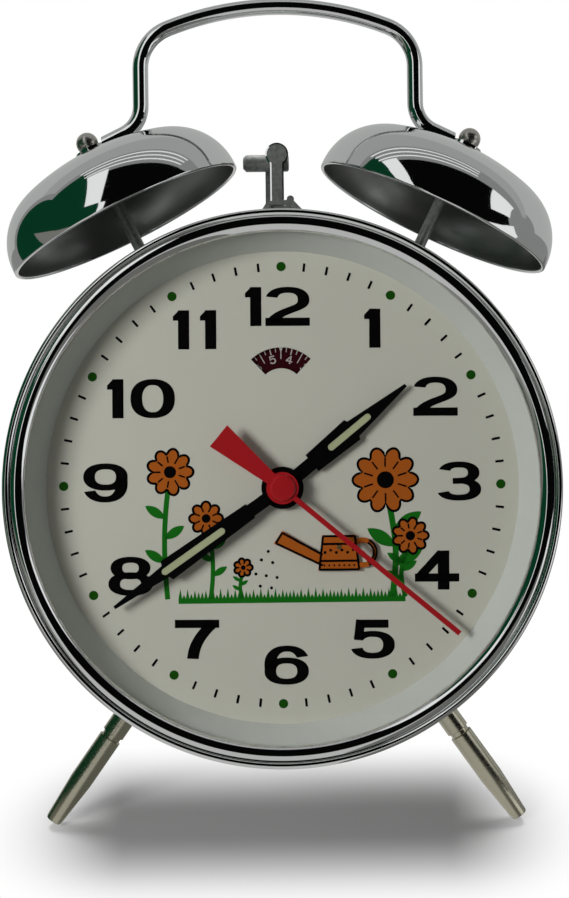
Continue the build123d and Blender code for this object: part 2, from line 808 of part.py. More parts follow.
# Carry handle: bent wire with flattened eyes under the cap nuts
crown = spindle(bell_place, bell_heading, bell_depth)
crown_plane = Plane(crown.origin + crown.y_dir * eye_base, x_dir=crown.x_dir, z_dir=crown.y_dir)
tab_start = (
    bell_place[0] + (eye_base + handle_tab_rise) * sin(bell_heading),
    bell_place[1] + (eye_base + handle_tab_rise) * cos(bell_heading),
)
tab_run = (tab_start[0] - handle_half_width) / cos(bell_heading)
knee_height = tab_start[1] + tab_run * sin(bell_heading)
flare_turn = 90 - bell_tilt
flare_height = knee_height + handle_flare_radius * sin(radians(flare_turn)) / (1 + cos(radians(flare_turn)))
arch_turn = degrees(
    asin((handle_half_width - handle_shoulder_radius) / (handle_arch_radius - handle_shoulder_radius))
)
with BuildPart() as carry_handle:
    with BuildLine(station(centre, bell_depth)) as bent:
        arch = JernArc((0, handle_top), (1, 0), handle_arch_radius, -arch_turn)
        shoulder = JernArc(arch @ 1, arch % 1, handle_shoulder_radius, arch_turn - 90)
        leg = Line(shoulder @ 1, face.from_local_coords((handle_half_width, flare_height, -bell_depth)))
        flare = JernArc(leg @ 1, leg % 1, handle_flare_radius, flare_turn)
        tab = Line(flare @ 1, face.from_local_coords((tab_start[0], tab_start[1], -bell_depth)))
    with BuildSketch(Plane(bent.line @ 0, x_dir=face.z_dir, z_dir=bent.line % 0)) as round_wire:
        Circle(wire_radius)
    sweep(round_wire.sketch, path=bent.line)
    with BuildSketch(crown_plane) as eye:
        Circle(handle_eye_radius)
    extrude(eye.sketch, amount=handle_eye_thickness)
    with BuildSketch(crown_plane) as flat:
        Rectangle(2 * tab_run, 2 * handle_eye_radius)
    extrude(flat.sketch, amount=-wire_radius, mode=Mode.SUBTRACT)
    with BuildSketch(crown_plane.offset(handle_eye_thickness)) as nut_seat:
        Circle(handle_eye_radius)
    extrude(nut_seat.sketch, amount=2 * wire_radius, mode=Mode.SUBTRACT)
    with BuildSketch(crown_plane) as eye_hole:
        Circle(post_stud + running_fit)
    extrude(eye_hole.sketch, amount=handle_eye_thickness, mode=Mode.SUBTRACT)
    mirror(about=Plane.YZ)
nodes["carry_handle"] = carry_handle

# Saddle on top of the drum that guides the hammer's arm
guide_middle = (guide_left + guide_right) / 2
guide_width = guide_right - guide_left
guide_foot = drum_radius + seat_gap
with BuildPart() as hammer_guide:
    with BuildSketch(station(centre, guide_front)) as saddle:
        with Locations((guide_middle, guide_foot)):
            Rectangle(guide_width + 2 * guide_skirt, 2 * guide_base)
        Circle(guide_foot, mode=Mode.SUBTRACT)
    extrude(saddle.sketch, amount=guide_front - guide_back)
    with BuildSketch(station(centre, guide_front)) as cheek:
        with BuildLine():
            Polyline(
                (guide_left - guide_skirt, guide_foot + guide_base),
                (guide_left, guide_foot + guide_height - guide_skirt),
                (guide_left, guide_foot + guide_height),
                (guide_right, guide_foot + guide_height),
                (guide_right, guide_foot + guide_height - guide_skirt),
                (guide_right + guide_skirt, guide_foot + guide_base),
                close=True,
            )
        make_face()
    extrude(cheek.sketch, amount=-guide_wall)
    rear_cheek = Location(face.z_dir * (guide_front - guide_back + guide_wall))
    extrude(cheek.sketch.moved(rear_cheek), amount=-guide_wall)
    with BuildSketch(station(centre, guide_front)) as curl:
        with Locations((guide_curl_side, guide_foot + guide_height)):
            Circle(guide_curl_radius)
    extrude(curl.sketch, amount=-guide_wall)
    with BuildSketch(station(centre, slot_front)) as arm_slot:
        with Locations(((slot_left + slot_right) / 2, guide_foot)):
            Rectangle(slot_right - slot_left, 2 * guide_base + guide_skirt)
    extrude(arm_slot.sketch, amount=slot_front - slot_back, mode=Mode.SUBTRACT)
nodes["hammer_guide"] = hammer_guide

# Spring drives: main wheel, click, winding arbor, mainspring and key
drive_modules = {"time": time_module, "alarm": alarm_module}
ratchet_depth = main_wheel_depth + main_wheel_thickness + moving_gap
ratchet_root = ratchet_radius * (1 - ratchet_depth_share)
key_front = cover_back + key_standoff
for name, place in drive_places.items():
    module = drive_modules[name]
    rim = module * (main_teeth / 2 + 3 * wheel_tooth_shares[0][0])
    click_place = polar(place, click_orbit, click_lead)
    with BuildPart() as main_wheel:
        outline = toothed(place, main_wheel_depth, main_teeth, module, 0, wheel_tooth_shares)
        extrude(outline, amount=-main_wheel_thickness)
        hub = click_orbit + 2 * click_stud
        cross_out(place, main_wheel_depth, main_wheel_thickness, rim, hub, click_orbit / 2)
        disc(click_place, main_wheel_depth, ratchet_depth + ratchet_thickness - main_wheel_depth, click_stud)
        bore = winding_radius + running_fit
        disc(place, main_wheel_depth, main_wheel_thickness, bore, mode=Mode.SUBTRACT)
    nodes[f"{name}_main_wheel"] = main_wheel
    with BuildPart() as winding_arbor:
        end = key_front + winding_end_length
        turned(
            place,
            (winding_pivot, front_plate_depth, front_plate_back + seat_gap),
            (winding_radius, front_plate_back + seat_gap, key_front),
            (winding_end, key_front, end),
        )
        ratchet = sawtoothed(place, ratchet_depth, ratchet_teeth, ratchet_radius, ratchet_root, 0)
        extrude(ratchet, amount=-ratchet_thickness)
    nodes[f"{name}_winding_arbor"] = winding_arbor
    with BuildPart() as click:
        bite = ratchet_root + click_bite_share * (ratchet_radius - ratchet_root)
        beak = polar(centre, bite, click_lead_in)
        pivot = polar(centre, click_orbit, click_lead)
        length = hypot(pivot[0] - beak[0], pivot[1] - beak[1])
        along = ((pivot[0] - beak[0]) / length, (pivot[1] - beak[1]) / length)
        with BuildSketch(station(place, ratchet_depth)) as pawl:
            with BuildLine():
                Polyline(
                    beak,
                    pivot,
                    (pivot[0] + click_radius * along[1], pivot[1] - click_radius * along[0]),
                    (
                        beak[0] + click_stud * (along[0] + along[1]),
                        beak[1] + click_stud * (along[1] - along[0]),
                    ),
                    close=True,
                )
            make_face()
            with Locations(pivot):
                Circle(click_radius)
                Circle(click_stud + running_fit, mode=Mode.SUBTRACT)
        extrude(pawl.sketch, amount=-ratchet_thickness)
    nodes[f"{name}_click"] = click
    with BuildPart() as mainspring:
        coil_plane = spun(station(place, mainspring_depth), anchor_headings[name])
        coil = spiral(
            coil_plane,
            mainspring_inner,
            mainspring_growth,
            mainspring_halves,
            mainspring_thickness,
            anchor_radius + slip_fit,
        )
        extrude(coil, amount=-mainspring_height)
    nodes[f"{name}_mainspring"] = mainspring
    with BuildPart() as key:
        turned(place, (key_hub_radius, key_front + seat_gap, key_front + key_hub_length))
        with BuildSketch(section(place)) as wings:
            with Locations((0, key_front + key_hub_length)):
                with Locations((-key_wing_centre, 0), (key_wing_centre, 0)):
                    Circle(key_wing_radius)
                Rectangle(2 * key_wing_centre, key_wing_radius)
        extrude(wings.sketch, amount=key_wing_thickness / 2, both=True)
        disc(place, key_front, winding_end_length + seat_gap, winding_end + seat_gap, mode=Mode.SUBTRACT)
    nodes[f"{name}_key"] = key

# Minute wheel on its tube, with the pinion that the time spring drives
with BuildPart() as centre_wheel:
    tube_front = minute_hand_depth - hand_thickness
    turned(centre, (centre_tube_radius, tube_front, centre_wheel_depth + wheel_thickness + moving_gap))
    leaf_start = main_wheel_depth - moving_gap
    outline = toothed(centre, leaf_start, centre_leaves, time_module, centre_leaf_phase, leaf_shares)
    extrude(outline, amount=-main_wheel_thickness - 2 * moving_gap)
    outline = toothed(centre, centre_wheel_depth, centre_teeth, centre_module, 0, wheel_tooth_shares)
    extrude(outline, amount=-wheel_thickness)
    rim = centre_module * (centre_teeth / 2 + 3 * wheel_tooth_shares[0][0])
    cross_out(centre, centre_wheel_depth, wheel_thickness, rim, 2 * centre_tube_radius, centre_tube_radius)
    bore = seconds_arbor_radius + running_fit
    disc(centre, tube_front, centre_wheel_depth + leaf_length - tube_front, bore, mode=Mode.SUBTRACT)
nodes["centre_wheel"] = centre_wheel

# Cannon pinion, gripping the minute tube in front of the plate
with BuildPart() as cannon_pinion:
    pipe_back = motion_wheel_depth + wheel_thickness + moving_gap
    turned(centre, (cannon_pipe_radius, minute_hand_depth - moving_gap, pipe_back))
    outline = toothed(centre, motion_wheel_depth - moving_gap, cannon_leaves, motion_module, 0, leaf_shares)
    extrude(outline, amount=-wheel_thickness - 2 * moving_gap)
    disc(centre, minute_hand_depth - overrun, pipe_back, centre_tube_radius + seat_gap, mode=Mode.SUBTRACT)
nodes["cannon_pinion"] = cannon_pinion

# Third wheel
with BuildPart() as third_wheel:
    turned(third_place, (arbor_radius, front_plate_depth, back_plate_back))
    leaves = centre_wheel_depth + wheel_thickness / 2 - leaf_length / 2
    outline = toothed(third_place, leaves, third_leaves, centre_module, third_leaf_phase, leaf_shares)
    extrude(outline, amount=-leaf_length)
    outline = toothed(third_place, third_wheel_depth, third_teeth, third_module, 0, wheel_tooth_shares)
    extrude(outline, amount=-wheel_thickness)
    rim = third_module * (third_teeth / 2 + 3 * wheel_tooth_shares[0][0])
    hub = 2 * centre_tube_radius
    cross_out(third_place, third_wheel_depth, wheel_thickness, rim, hub, centre_tube_radius)
nodes["third_wheel"] = third_wheel

# Fourth wheel on the seconds arbor
with BuildPart() as fourth_wheel:
    turned(centre, (seconds_arbor_radius, second_hand_depth, back_plate_back))
    leaves = third_wheel_depth + wheel_thickness / 2 - leaf_length / 2
    outline = toothed(centre, leaves, seconds_leaves, third_module, seconds_phase, leaf_shares)
    extrude(outline, amount=-leaf_length)
    outline = toothed(centre, fourth_wheel_depth, fourth_teeth, fourth_module, 0, wheel_tooth_shares)
    extrude(outline, amount=-wheel_thickness)
    rim = fourth_module * (fourth_teeth / 2 + 3 * wheel_tooth_shares[0][0])
    cross_out(centre, fourth_wheel_depth, wheel_thickness, rim, 2 * centre_tube_radius, centre_tube_radius)
nodes["fourth_wheel"] = fourth_wheel

# Escape wheel with pointed teeth
with BuildPart() as escape_wheel:
    turned(escape_place, (arbor_radius, front_plate_depth, back_plate_back))
    leaves = fourth_wheel_depth + wheel_thickness / 2 - leaf_length / 2
    outline = toothed(escape_place, leaves, escape_leaves, fourth_module, escape_leaf_phase, leaf_shares)
    extrude(outline, amount=-leaf_length)
    root = escape_radius * (1 - 2 * ratchet_depth_share)
    saw = sawtoothed(escape_place, escape_wheel_depth, escape_teeth, escape_radius, root, 0)
    extrude(saw, amount=-wheel_thickness)
nodes["escape_wheel"] = escape_wheel

# Pin-pallet lever: two pins beside the escape wheel, a fork towards the balance
pallet_orbit = escape_radius + pallet_pin_radius + moving_gap
pallet_orbit += lever_distance * sin(radians(lever_swing))
with BuildPart() as pallet_lever:
    turned(lever_place, (arbor_radius, figure_depth, back_plate_back))
    lever_plane = spun(station(lever_place, lever_depth), lever_heading)
    pins = [
        (pallet_orbit * cos(radians(a)) - lever_distance, pallet_orbit * sin(radians(a)))
        for a in (-pallet_half_angle, pallet_half_angle)
    ]
    with BuildSketch(lever_plane) as lever_face:
        Circle(lever_bar)
        Rectangle(fork_reach - fork_gap, lever_bar, align=(Align.MIN, Align.CENTER))
        for pin in pins:
            with BuildLine():
                reach = hypot(pin[0], pin[1])
                across = (-pin[1] / reach * lever_bar / 2, pin[0] / reach * lever_bar / 2)
                Polyline(
                    across,
                    (pin[0] + across[0], pin[1] + across[1]),
                    (pin[0] - across[0], pin[1] - across[1]),
                    (-across[0], -across[1]),
                    close=True,
                )
            make_face()
            with Locations(pin):
                Circle(lever_bar / 2)
        with Locations((fork_reach - fork_gap, 0)):
            Rectangle(fork_prong, fork_gap + 2 * fork_prong, align=(Align.MAX, Align.CENTER))
        for hand in (-1, 1):
            with Locations((fork_reach - fork_gap - fork_prong, hand * (fork_gap + fork_prong) / 2)):
                Rectangle(fork_gap + fork_prong, fork_prong, align=(Align.MIN, Align.CENTER))
    extrude(lever_face.sketch, amount=-lever_thickness)
    with BuildSketch(lever_plane) as pin_faces:
        with Locations(pins):
            Circle(pallet_pin_radius)
    extrude(pin_faces.sketch, amount=lever_depth - escape_wheel_depth)
nodes["pallet_lever"] = pallet_lever

# Balance wheel with its staff, roller and impulse pin
roller_front = lever_depth + lever_thickness + moving_gap
with BuildPart() as balance_wheel:
    turned(
        balance_place,
        (arbor_radius, front_plate_depth, roller_front),
        (roller_radius, roller_front, roller_front + roller_thickness),
        (arbor_radius, roller_front + roller_thickness, hairspring_depth - moving_gap),
        (collet_radius, hairspring_depth - moving_gap, hairspring_depth + hairspring_height + moving_gap),
        (arbor_radius, hairspring_depth + hairspring_height + moving_gap, back_plate_back),
    )
    disc(balance_place, balance_depth, balance_thickness, balance_radius)
    with BuildSketch(spun(station(balance_place, balance_depth), lever_heading)) as arms:
        Circle(balance_radius - balance_rim)
        Rectangle(2 * balance_radius, 2 * balance_rim, mode=Mode.SUBTRACT)
        Circle(roller_radius, mode=Mode.SUBTRACT)
    extrude(arms.sketch, amount=-balance_thickness, mode=Mode.SUBTRACT)
    impulse_place = polar(balance_place, -impulse_orbit, lever_heading)
    disc(impulse_place, lever_depth, roller_front - lever_depth, impulse_pin_radius)
nodes["balance_wheel"] = balance_wheel

# Hairspring from the balance's collet to its stud on the back plate
with BuildPart() as hairspring:
    hair_plane = spun(station(balance_place, hairspring_depth), lever_heading)
    hair = spiral(
        hair_plane,
        hairspring_inner,
        hairspring_growth,
        hairspring_halves,
        hairspring_thickness,
        stud_radius + slip_fit,
    )
    extrude(hair, amount=-hairspring_height)
nodes["hairspring"] = hairspring

# Regulator lever behind the back plate, its pin reaching out through the cover
regulator_front = back_plate_back + moving_gap / 2
with BuildPart() as regulator_lever:
    disc(balance_place, regulator_front, regulator_thickness, regulator_ring)
    with BuildSketch(station(balance_place, regulator_front)) as tail:
        Rectangle(regulator_width, regulator_reach, align=(Align.CENTER, Align.MAX))
        with Locations((0, -regulator_reach)):
            Circle(regulator_width / 2)
    extrude(tail.sketch, amount=-regulator_thickness)
    pin_place = (balance_place[0], balance_place[1] - regulator_reach)
    disc(pin_place, regulator_front, cover_back + key_standoff - regulator_front, regulator_pin)
    bore = regulator_boss + running_fit
    disc(balance_place, regulator_front, regulator_thickness, bore, mode=Mode.SUBTRACT)
nodes["regulator_lever"] = regulator_lever

# Motion work: the arbor below the centre carries its wheel, its pinion and the setting knob
knob_front = cover_back + knob_standoff
arbor_end = knob_front + knob_length / 2
with BuildPart() as motion_wheel:
    turned(motion_place, (set_arbor_radius, dial_back + moving_gap, arbor_end))
    outline = toothed(
        motion_place,
        hour_wheel_depth - moving_gap,
        motion_leaves,
        motion_module,
        motion_leaf_phase,
        leaf_shares,
    )
    extrude(outline, amount=-wheel_thickness - 2 * moving_gap)
    outline = toothed(
        motion_place, motion_wheel_depth, motion_teeth, motion_module, motion_phase, wheel_tooth_shares
    )
    extrude(outline, amount=-wheel_thickness)
nodes["motion_wheel"] = motion_wheel

with BuildPart() as hour_wheel:
    pipe_front = hour_hand_depth - moving_gap
    pipe_back = hour_wheel_depth + wheel_thickness + moving_gap
    turned(centre, (hour_pipe_radius, pipe_front, pipe_back))
    extrude(
        toothed(centre, hour_wheel_depth, hour_teeth, motion_module, 0, wheel_tooth_shares),
        amount=-wheel_thickness,
    )
    disc(centre, pipe_front, pipe_back - pipe_front, cannon_pipe_radius + running_fit, mode=Mode.SUBTRACT)
nodes["hour_wheel"] = hour_wheel

# Alarm setting: a disc behind the dial's window on an arbor that the rear knob turns
with BuildPart() as alarm_set_arbor:
    turned(alarm_place, (set_arbor_radius, alarm_disc_depth, arbor_end))
nodes["alarm_set_arbor"] = alarm_set_arbor

with BuildPart() as alarm_disc:
    disc(alarm_place, alarm_disc_depth, alarm_disc_thickness, alarm_disc_radius)
    disc(alarm_place, alarm_disc_depth, alarm_disc_thickness, set_arbor_radius + seat_gap, mode=Mode.SUBTRACT)
nodes["alarm_disc"] = alarm_disc

with BuildPart() as alarm_wheel:
    outline = toothed(
        alarm_place, hour_wheel_depth, alarm_teeth, motion_module, alarm_phase, wheel_tooth_shares
    )
    extrude(outline, amount=-wheel_thickness)
    disc(alarm_place, hour_wheel_depth, wheel_thickness + alarm_hub_length, alarm_hub_radius)
    hub_bore = set_arbor_radius + running_fit
    disc(alarm_place, hour_wheel_depth, wheel_thickness + alarm_hub_length, hub_bore, mode=Mode.SUBTRACT)
nodes["alarm_wheel"] = alarm_wheel

# Flat spring that presses the alarm wheel forward
release_depth = hour_wheel_depth + wheel_thickness + alarm_hub_length + moving_gap
with BuildPart() as alarm_release_spring:
    with BuildSketch(station(alarm_place, release_depth)) as blade:
        Rectangle(release_spring_length, release_spring_width, align=(Align.MAX, Align.CENTER))
        Circle(alarm_hub_radius)
        Circle(set_arbor_radius + moving_gap, mode=Mode.SUBTRACT)
    extrude(blade.sketch, amount=-release_spring_thickness)
    rivet = (alarm_place[0] - release_spring_length + release_spring_width / 2, alarm_place[1])
    disc(rivet, release_depth, front_plate_depth - seat_gap - release_depth, release_spring_width / 2)
nodes["alarm_release_spring"] = alarm_release_spring

# Fluted setting knobs on the back
for name, place in (("time_set_knob", motion_place), ("alarm_set_knob", alarm_place)):
    with BuildPart() as knob:
        knob_module = 2 * knob_radius / knob_flutes
        extrude(
            toothed(place, knob_front, knob_flutes, knob_module, 0, knob_flute_shares), amount=-knob_length
        )
        disc(place, knob_front, knob_length / 2 + seat_gap, set_arbor_radius + seat_gap, mode=Mode.SUBTRACT)
    nodes[name] = knob


# Half outline of a stepped hand along its plane's Y axis, mirrored to the other side
def stepped_hand(length, shares, widths):
    half = [
        (widths[0], 0),
        (widths[0], shares[0] * length),
        (widths[1], shares[0] * length),
        (widths[2], shares[1] * length),
        (widths[3], shares[2] * length),
        (widths[4], length),
    ]
    return half + [(-x, y) for x, y in reversed(half)]


# Hour and minute hands with luminous strips let into their slots
hand_sizes = {
    "hour": (hour_hand_depth, hour_angle, hour_hand_length, hour_step_shares, hour_half_widths),
    "minute": (minute_hand_depth, minute_angle, minute_hand_length, minute_step_shares, minute_half_widths),
}
hand_hubs = {
    "hour": (hub_radius, hour_pipe_radius, hour_slot_shares),
    "minute": (minute_boss, cannon_pipe_radius, minute_slot_shares),
}
for name, (depth, angle, length, shares, widths) in hand_sizes.items():
    hub, pipe, slot_shares = hand_hubs[name]
    hand_plane = spun(station(centre, depth), -angle)
    slot_middle = (0, length * (slot_shares[0] + slot_shares[1]) / 2)
    slot_length = length * (slot_shares[1] - slot_shares[0])
    with BuildPart() as hand:
        with BuildSketch(hand_plane) as blade:
            with BuildLine():
                Polyline(*stepped_hand(length, shares, widths), close=True)
            make_face()
            Circle(hub)
            Circle(pipe + seat_gap, mode=Mode.SUBTRACT)
            with Locations(slot_middle):
                SlotOverall(slot_length, slot_width, rotation=90, mode=Mode.SUBTRACT)
        extrude(blade.sketch, amount=-hand_thickness)
    nodes[f"{name}_hand"] = hand
    with BuildPart() as lume:
        with BuildSketch(hand_plane) as strip:
            with Locations(slot_middle):
                SlotOverall(slot_length - 2 * seat_gap, slot_width - 2 * seat_gap, rotation=90)
        extrude(strip.sketch, amount=-hand_thickness)
    nodes[f"{name}_hand_lume"] = lume

# Sweep second hand with a wedge tail and a capped hub
with BuildPart() as second_hand:
    with BuildSketch(spun(station(centre, second_hand_depth), -second_angle)) as needle:
        with BuildLine():
            Polyline(
                (second_half_widths[0], 0),
                (second_half_widths[1], second_hand_length),
                (-second_half_widths[1], second_hand_length),
                (-second_half_widths[0], 0),
                (-second_tail_half_widths[0], 0),
                (-second_tail_half_widths[1], -second_tail_length),
                (second_tail_half_widths[1], -second_tail_length),
                (second_tail_half_widths[0], 0),
                close=True,
            )
        make_face()
        Circle(second_hub_radius)
        Circle(seconds_arbor_radius + seat_gap, mode=Mode.SUBTRACT)
    extrude(needle.sketch, amount=-hand_thickness)
    disc(centre, second_hand_depth - second_cap_height, second_cap_height - seat_gap, second_cap_radius)
nodes["second_hand"] = second_hand

# Rocking figure in front of the dial: a watering can with spout, rose and loop handle
with BuildPart() as rocking_figure:
    with BuildSketch(station(lever_place, figure_depth)) as can:
        with Locations((can_width / 2 + loop_wire / 2, -can_drop)):
            Circle(loop_radius)
            Circle(loop_radius - loop_wire, mode=Mode.SUBTRACT)
        with BuildLine():
            spout_foot = (-can_width / 2, -can_drop - can_height / 2 + spout_width)
            spout_end = (-can_width / 2 - spout_reach, spout_foot[1] + spout_rise)
            Polyline(
                (spout_foot[0] + can_taper, spout_foot[1] - spout_width / 2),
                (spout_foot[0] + can_taper, spout_foot[1] + spout_width),
                (spout_end[0] + rose_width / 4, spout_end[1] + rose_width / 2),
                (spout_end[0] - rose_width / 4, spout_end[1] - rose_width / 4),
                close=True,
            )
        make_face()
        with BuildLine():
            Polyline(
                (-can_width / 2, -can_drop - can_height / 2),
                (can_width / 2, -can_drop - can_height / 2),
                (can_width / 2 - can_taper, can_height / 2 - can_drop),
                (can_taper - can_width / 2, can_height / 2 - can_drop),
                close=True,
            )
        make_face()
        Circle(arbor_radius + seat_gap, mode=Mode.SUBTRACT)
    extrude(can.sketch, amount=-figure_thickness)
nodes["rocking_figure"] = rocking_figure

# Alarm escape wheel, driven by the alarm's main wheel
with BuildPart() as alarm_escape_wheel:
    turned(alarm_escape_place, (arbor_radius, front_plate_depth, back_plate_back))
    leaves = main_wheel_depth - moving_gap
    outline = toothed(alarm_escape_place, leaves, alarm_leaves, alarm_module, alarm_leaf_phase, leaf_shares)
    extrude(outline, amount=-main_wheel_thickness - 2 * moving_gap)
    root = alarm_escape_radius * (1 - 2 * ratchet_depth_share)
    saw = sawtoothed(alarm_escape_place, alarm_escape_depth, alarm_escape_teeth, alarm_escape_radius, root, 0)
    extrude(saw, amount=-wheel_thickness)
nodes["alarm_escape_wheel"] = alarm_escape_wheel

# Hammer: arbor, hub, anchor pallets, front plate with a round head, and the rear strip
anchor_side = hypot(alarm_escape_place[0] - hammer_place[0], alarm_escape_place[1] - hammer_place[1])
anchor_heading = atan2(alarm_escape_place[1] - hammer_place[1], alarm_escape_place[0] - hammer_place[0])
knee = (hammer_top[0] - hammer_place[0], hammer_knee - hammer_place[1])
head = (hammer_top[0] - hammer_place[0], hammer_top[1] - hammer_place[1])
hammer_back = hammer_strip_depth + hammer_strip_thickness


# A strip from the hub to the knee and straight up to a height, shifted sideways
def arm_outline(shift, top):
    half = hammer_width / 2
    return (
        (-half, 0),
        (knee[0] + shift - half, knee[1]),
        (knee[0] + shift - half, top),
        (knee[0] + shift + half, top),
        (knee[0] + shift + half, knee[1]),
        (half, 0),
    )


with BuildPart() as hammer_arm:
    turned(
        hammer_place,
        (hammer_arbor_radius, front_plate_depth, hammer_plate_depth),
        (hammer_hub_radius, hammer_plate_depth, hammer_back),
        (hammer_arbor_radius, hammer_back, back_plate_back),
    )
    with BuildSketch(station(hammer_place, hammer_plate_depth)) as front:
        with BuildLine():
            Polyline(*arm_outline(0, head[1]), close=True)
        make_face()
        with Locations(head):
            Circle(hammer_head_radius)
    extrude(front.sketch, amount=-hammer_plate_thickness)
    with BuildSketch(station(hammer_place, hammer_strip_depth)) as rear:
        with BuildLine():
            Polyline(*arm_outline(-hammer_strip_shift / 2, head[1]), close=True)
        make_face()
    extrude(rear.sketch, amount=-hammer_strip_thickness)
    anchor_plane = spun(station(hammer_place, hammer_plate_depth), degrees(anchor_heading))
    with BuildSketch(anchor_plane) as pallets:
        for hand, swing in ((-1, hammer_low), (1, hammer_high)):
            clear = alarm_escape_radius + moving_gap + pallet_width / 2
            reach = (
                anchor_side - alarm_escape_radius * cos(radians(pallet_span)),
                hand * alarm_escape_radius * sin(radians(pallet_span)),
            )
            clear += hypot(reach[0], reach[1]) * radians(swing)
            tip = (
                anchor_side - clear * cos(radians(pallet_span)),
                hand * clear * sin(radians(pallet_span)),
            )
            span = hypot(tip[0], tip[1])
            across = (-tip[1] / span * anchor_arm_width / 2, tip[0] / span * anchor_arm_width / 2)
            with BuildLine():
                Polyline(
                    across,
                    (tip[0] + across[0] / 2, tip[1] + across[1] / 2),
                    (tip[0] - across[0] / 2, tip[1] - across[1] / 2),
                    (-across[0], -across[1]),
                    close=True,
                )
            make_face()
            with Locations(tip):
                Circle(pallet_width / 2)
    extrude(pallets.sketch, amount=-hammer_plate_thickness)
nodes["hammer_arm"] = hammer_arm

# Striker: a short bar across the arm, chamfered at the end that meets the bell
striker_depth = (hammer_plate_depth + hammer_plate_thickness + hammer_strip_depth) / 2
with BuildPart() as hammer_striker:
    bar_start = (hammer_top[0] + striker_offset + seat_gap, hammer_top[1] - striker_drop)
    bar = spindle(bar_start, radians(-90), striker_depth)
    lathe(
        bar,
        (
            (0, 0),
            (striker_radius - striker_chamfer / 2, 0),
            (striker_radius - seat_gap, striker_chamfer / 2),
            (striker_radius - seat_gap, striker_length - striker_chamfer),
            (striker_radius - striker_chamfer, striker_length),
            (0, striker_length),
        ),
    )
nodes["hammer_striker"] = hammer_striker

# Alarm stop: a push rod in the back cover, beside the hammer's arm
with BuildPart() as alarm_stop_pin:
    turned(
        stop_place,
        (stop_radius, stop_inner_end, stop_front),
        (stop_button_radius, stop_front, stop_front + stop_button_length),
    )
nodes["alarm_stop_pin"] = alarm_stop_pin

# Label and write every piece
for name, piece in nodes.items():
    piece.part.label = name
    export_step(piece.part, f"parts/{name}.step")
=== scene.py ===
import json

import bmesh
import bpy
import numpy as np
from mathutils import Matrix


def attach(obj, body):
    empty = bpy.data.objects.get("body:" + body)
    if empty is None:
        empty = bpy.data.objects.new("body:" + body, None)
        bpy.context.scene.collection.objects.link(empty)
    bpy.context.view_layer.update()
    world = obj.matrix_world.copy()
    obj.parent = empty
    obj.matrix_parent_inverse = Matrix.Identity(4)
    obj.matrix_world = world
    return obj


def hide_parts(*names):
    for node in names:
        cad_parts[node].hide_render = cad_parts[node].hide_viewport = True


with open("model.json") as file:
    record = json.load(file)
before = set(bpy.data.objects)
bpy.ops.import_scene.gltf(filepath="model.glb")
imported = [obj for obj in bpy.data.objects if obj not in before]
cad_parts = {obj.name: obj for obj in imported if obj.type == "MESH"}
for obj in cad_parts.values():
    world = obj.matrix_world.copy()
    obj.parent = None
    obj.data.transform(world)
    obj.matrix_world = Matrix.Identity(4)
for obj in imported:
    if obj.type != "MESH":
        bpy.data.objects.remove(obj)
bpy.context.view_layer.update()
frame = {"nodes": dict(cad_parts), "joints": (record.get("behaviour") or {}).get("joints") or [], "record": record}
nodes = frame["nodes"]
mm = 0.001
weldGap, sliverGap = 1e-7, 1e-8  # metres: points that are one, and edges too short to keep
leastNib = 1e-6  # mm, so that a strip of ink that tapers off never has no width at all
print("frame loaded:", len(nodes), "nodes")

# the dial's own axes, taken from the minute hand's joint: right, up the dial, and inward
minuteJoint = next(j for j in frame["joints"] if j["name"] == "minute_turn")
inward = np.array(minuteJoint["axis"], float)
toRight = np.array((1.0, 0.0, 0.0))
upDial = np.cross(toRight, inward)
hubDepth = 22  # mm from the bezel's front to the joint's place
bezelCentre = np.array(minuteJoint["pos_m"]) - inward * hubDepth * mm


def onClock(u, v, w):  # places in mm on the dial's axes, turned into metres in the shared frame
    u, v, w = np.broadcast_arrays(np.asarray(u, float), np.asarray(v, float), np.asarray(w, float))
    return bezelCentre + mm * (u[..., None] * toRight + v[..., None] * upDial + w[..., None] * inward)


def arc(centre, radius, start, end, count):  # points at equal angles round a circle, degrees
    angle = np.radians(np.linspace(start, end, count))
    return np.stack((centre[0] + radius * np.cos(angle), centre[1] + radius * np.sin(angle)), -1)


def circle(place, radius, count=32):
    return arc(place, radius, 0, 360 - 360 / count, count)


def compass(angle):  # unit directions at angles in radians
    return np.stack((np.cos(angle), np.sin(angle)), -1)


def dress(piece, body, material):  # ride, slot and finish in one go
    piece.data.materials.append(material)
    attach(piece, body)
    return piece


def newPiece(name, verts, faces, smooth=True, sharp=35, bands=None):
    mesh = bpy.data.meshes.new(name)
    mesh.from_pydata(np.asarray(verts, float).tolist(), [], faces)
    if bands is not None:  # which finish each face takes
        mesh.polygons.foreach_set("material_index", np.asarray(bands, np.int32))
    edit = bmesh.new()
    edit.from_mesh(mesh)
    bmesh.ops.remove_doubles(edit, verts=edit.verts, dist=weldGap)
    bmesh.ops.dissolve_degenerate(edit, dist=sliverGap, edges=edit.edges)
    edit.to_mesh(mesh)
    edit.free()
    if smooth:
        mesh.shade_smooth()
        mesh.set_sharp_from_angle(angle=np.radians(sharp))
    else:
        mesh.shade_flat()
    mesh.update()
    piece = bpy.data.objects.new(name, mesh)
    bpy.context.scene.collection.objects.link(piece)
    return piece


def gridFaces(rows, columns, closeRows=False, closeColumns=False):  # quads between neighbours of a grid
    index = np.arange(rows * columns).reshape(rows, columns)
    index = np.vstack((index, index[:1])) if closeRows else index
    index = np.hstack((index, index[:, :1])) if closeColumns else index
    quads = np.stack((index[:-1, :-1], index[1:, :-1], index[1:, 1:], index[:-1, 1:]), -1)
    return quads.reshape(-1, 4).tolist()


def outward(piece):  # turn a closed shell's faces outwards
    edit = bmesh.new()
    edit.from_mesh(piece.data)
    bmesh.ops.recalc_face_normals(edit, faces=edit.faces)
    edit.to_mesh(piece.data)
    edit.free()
    return piece


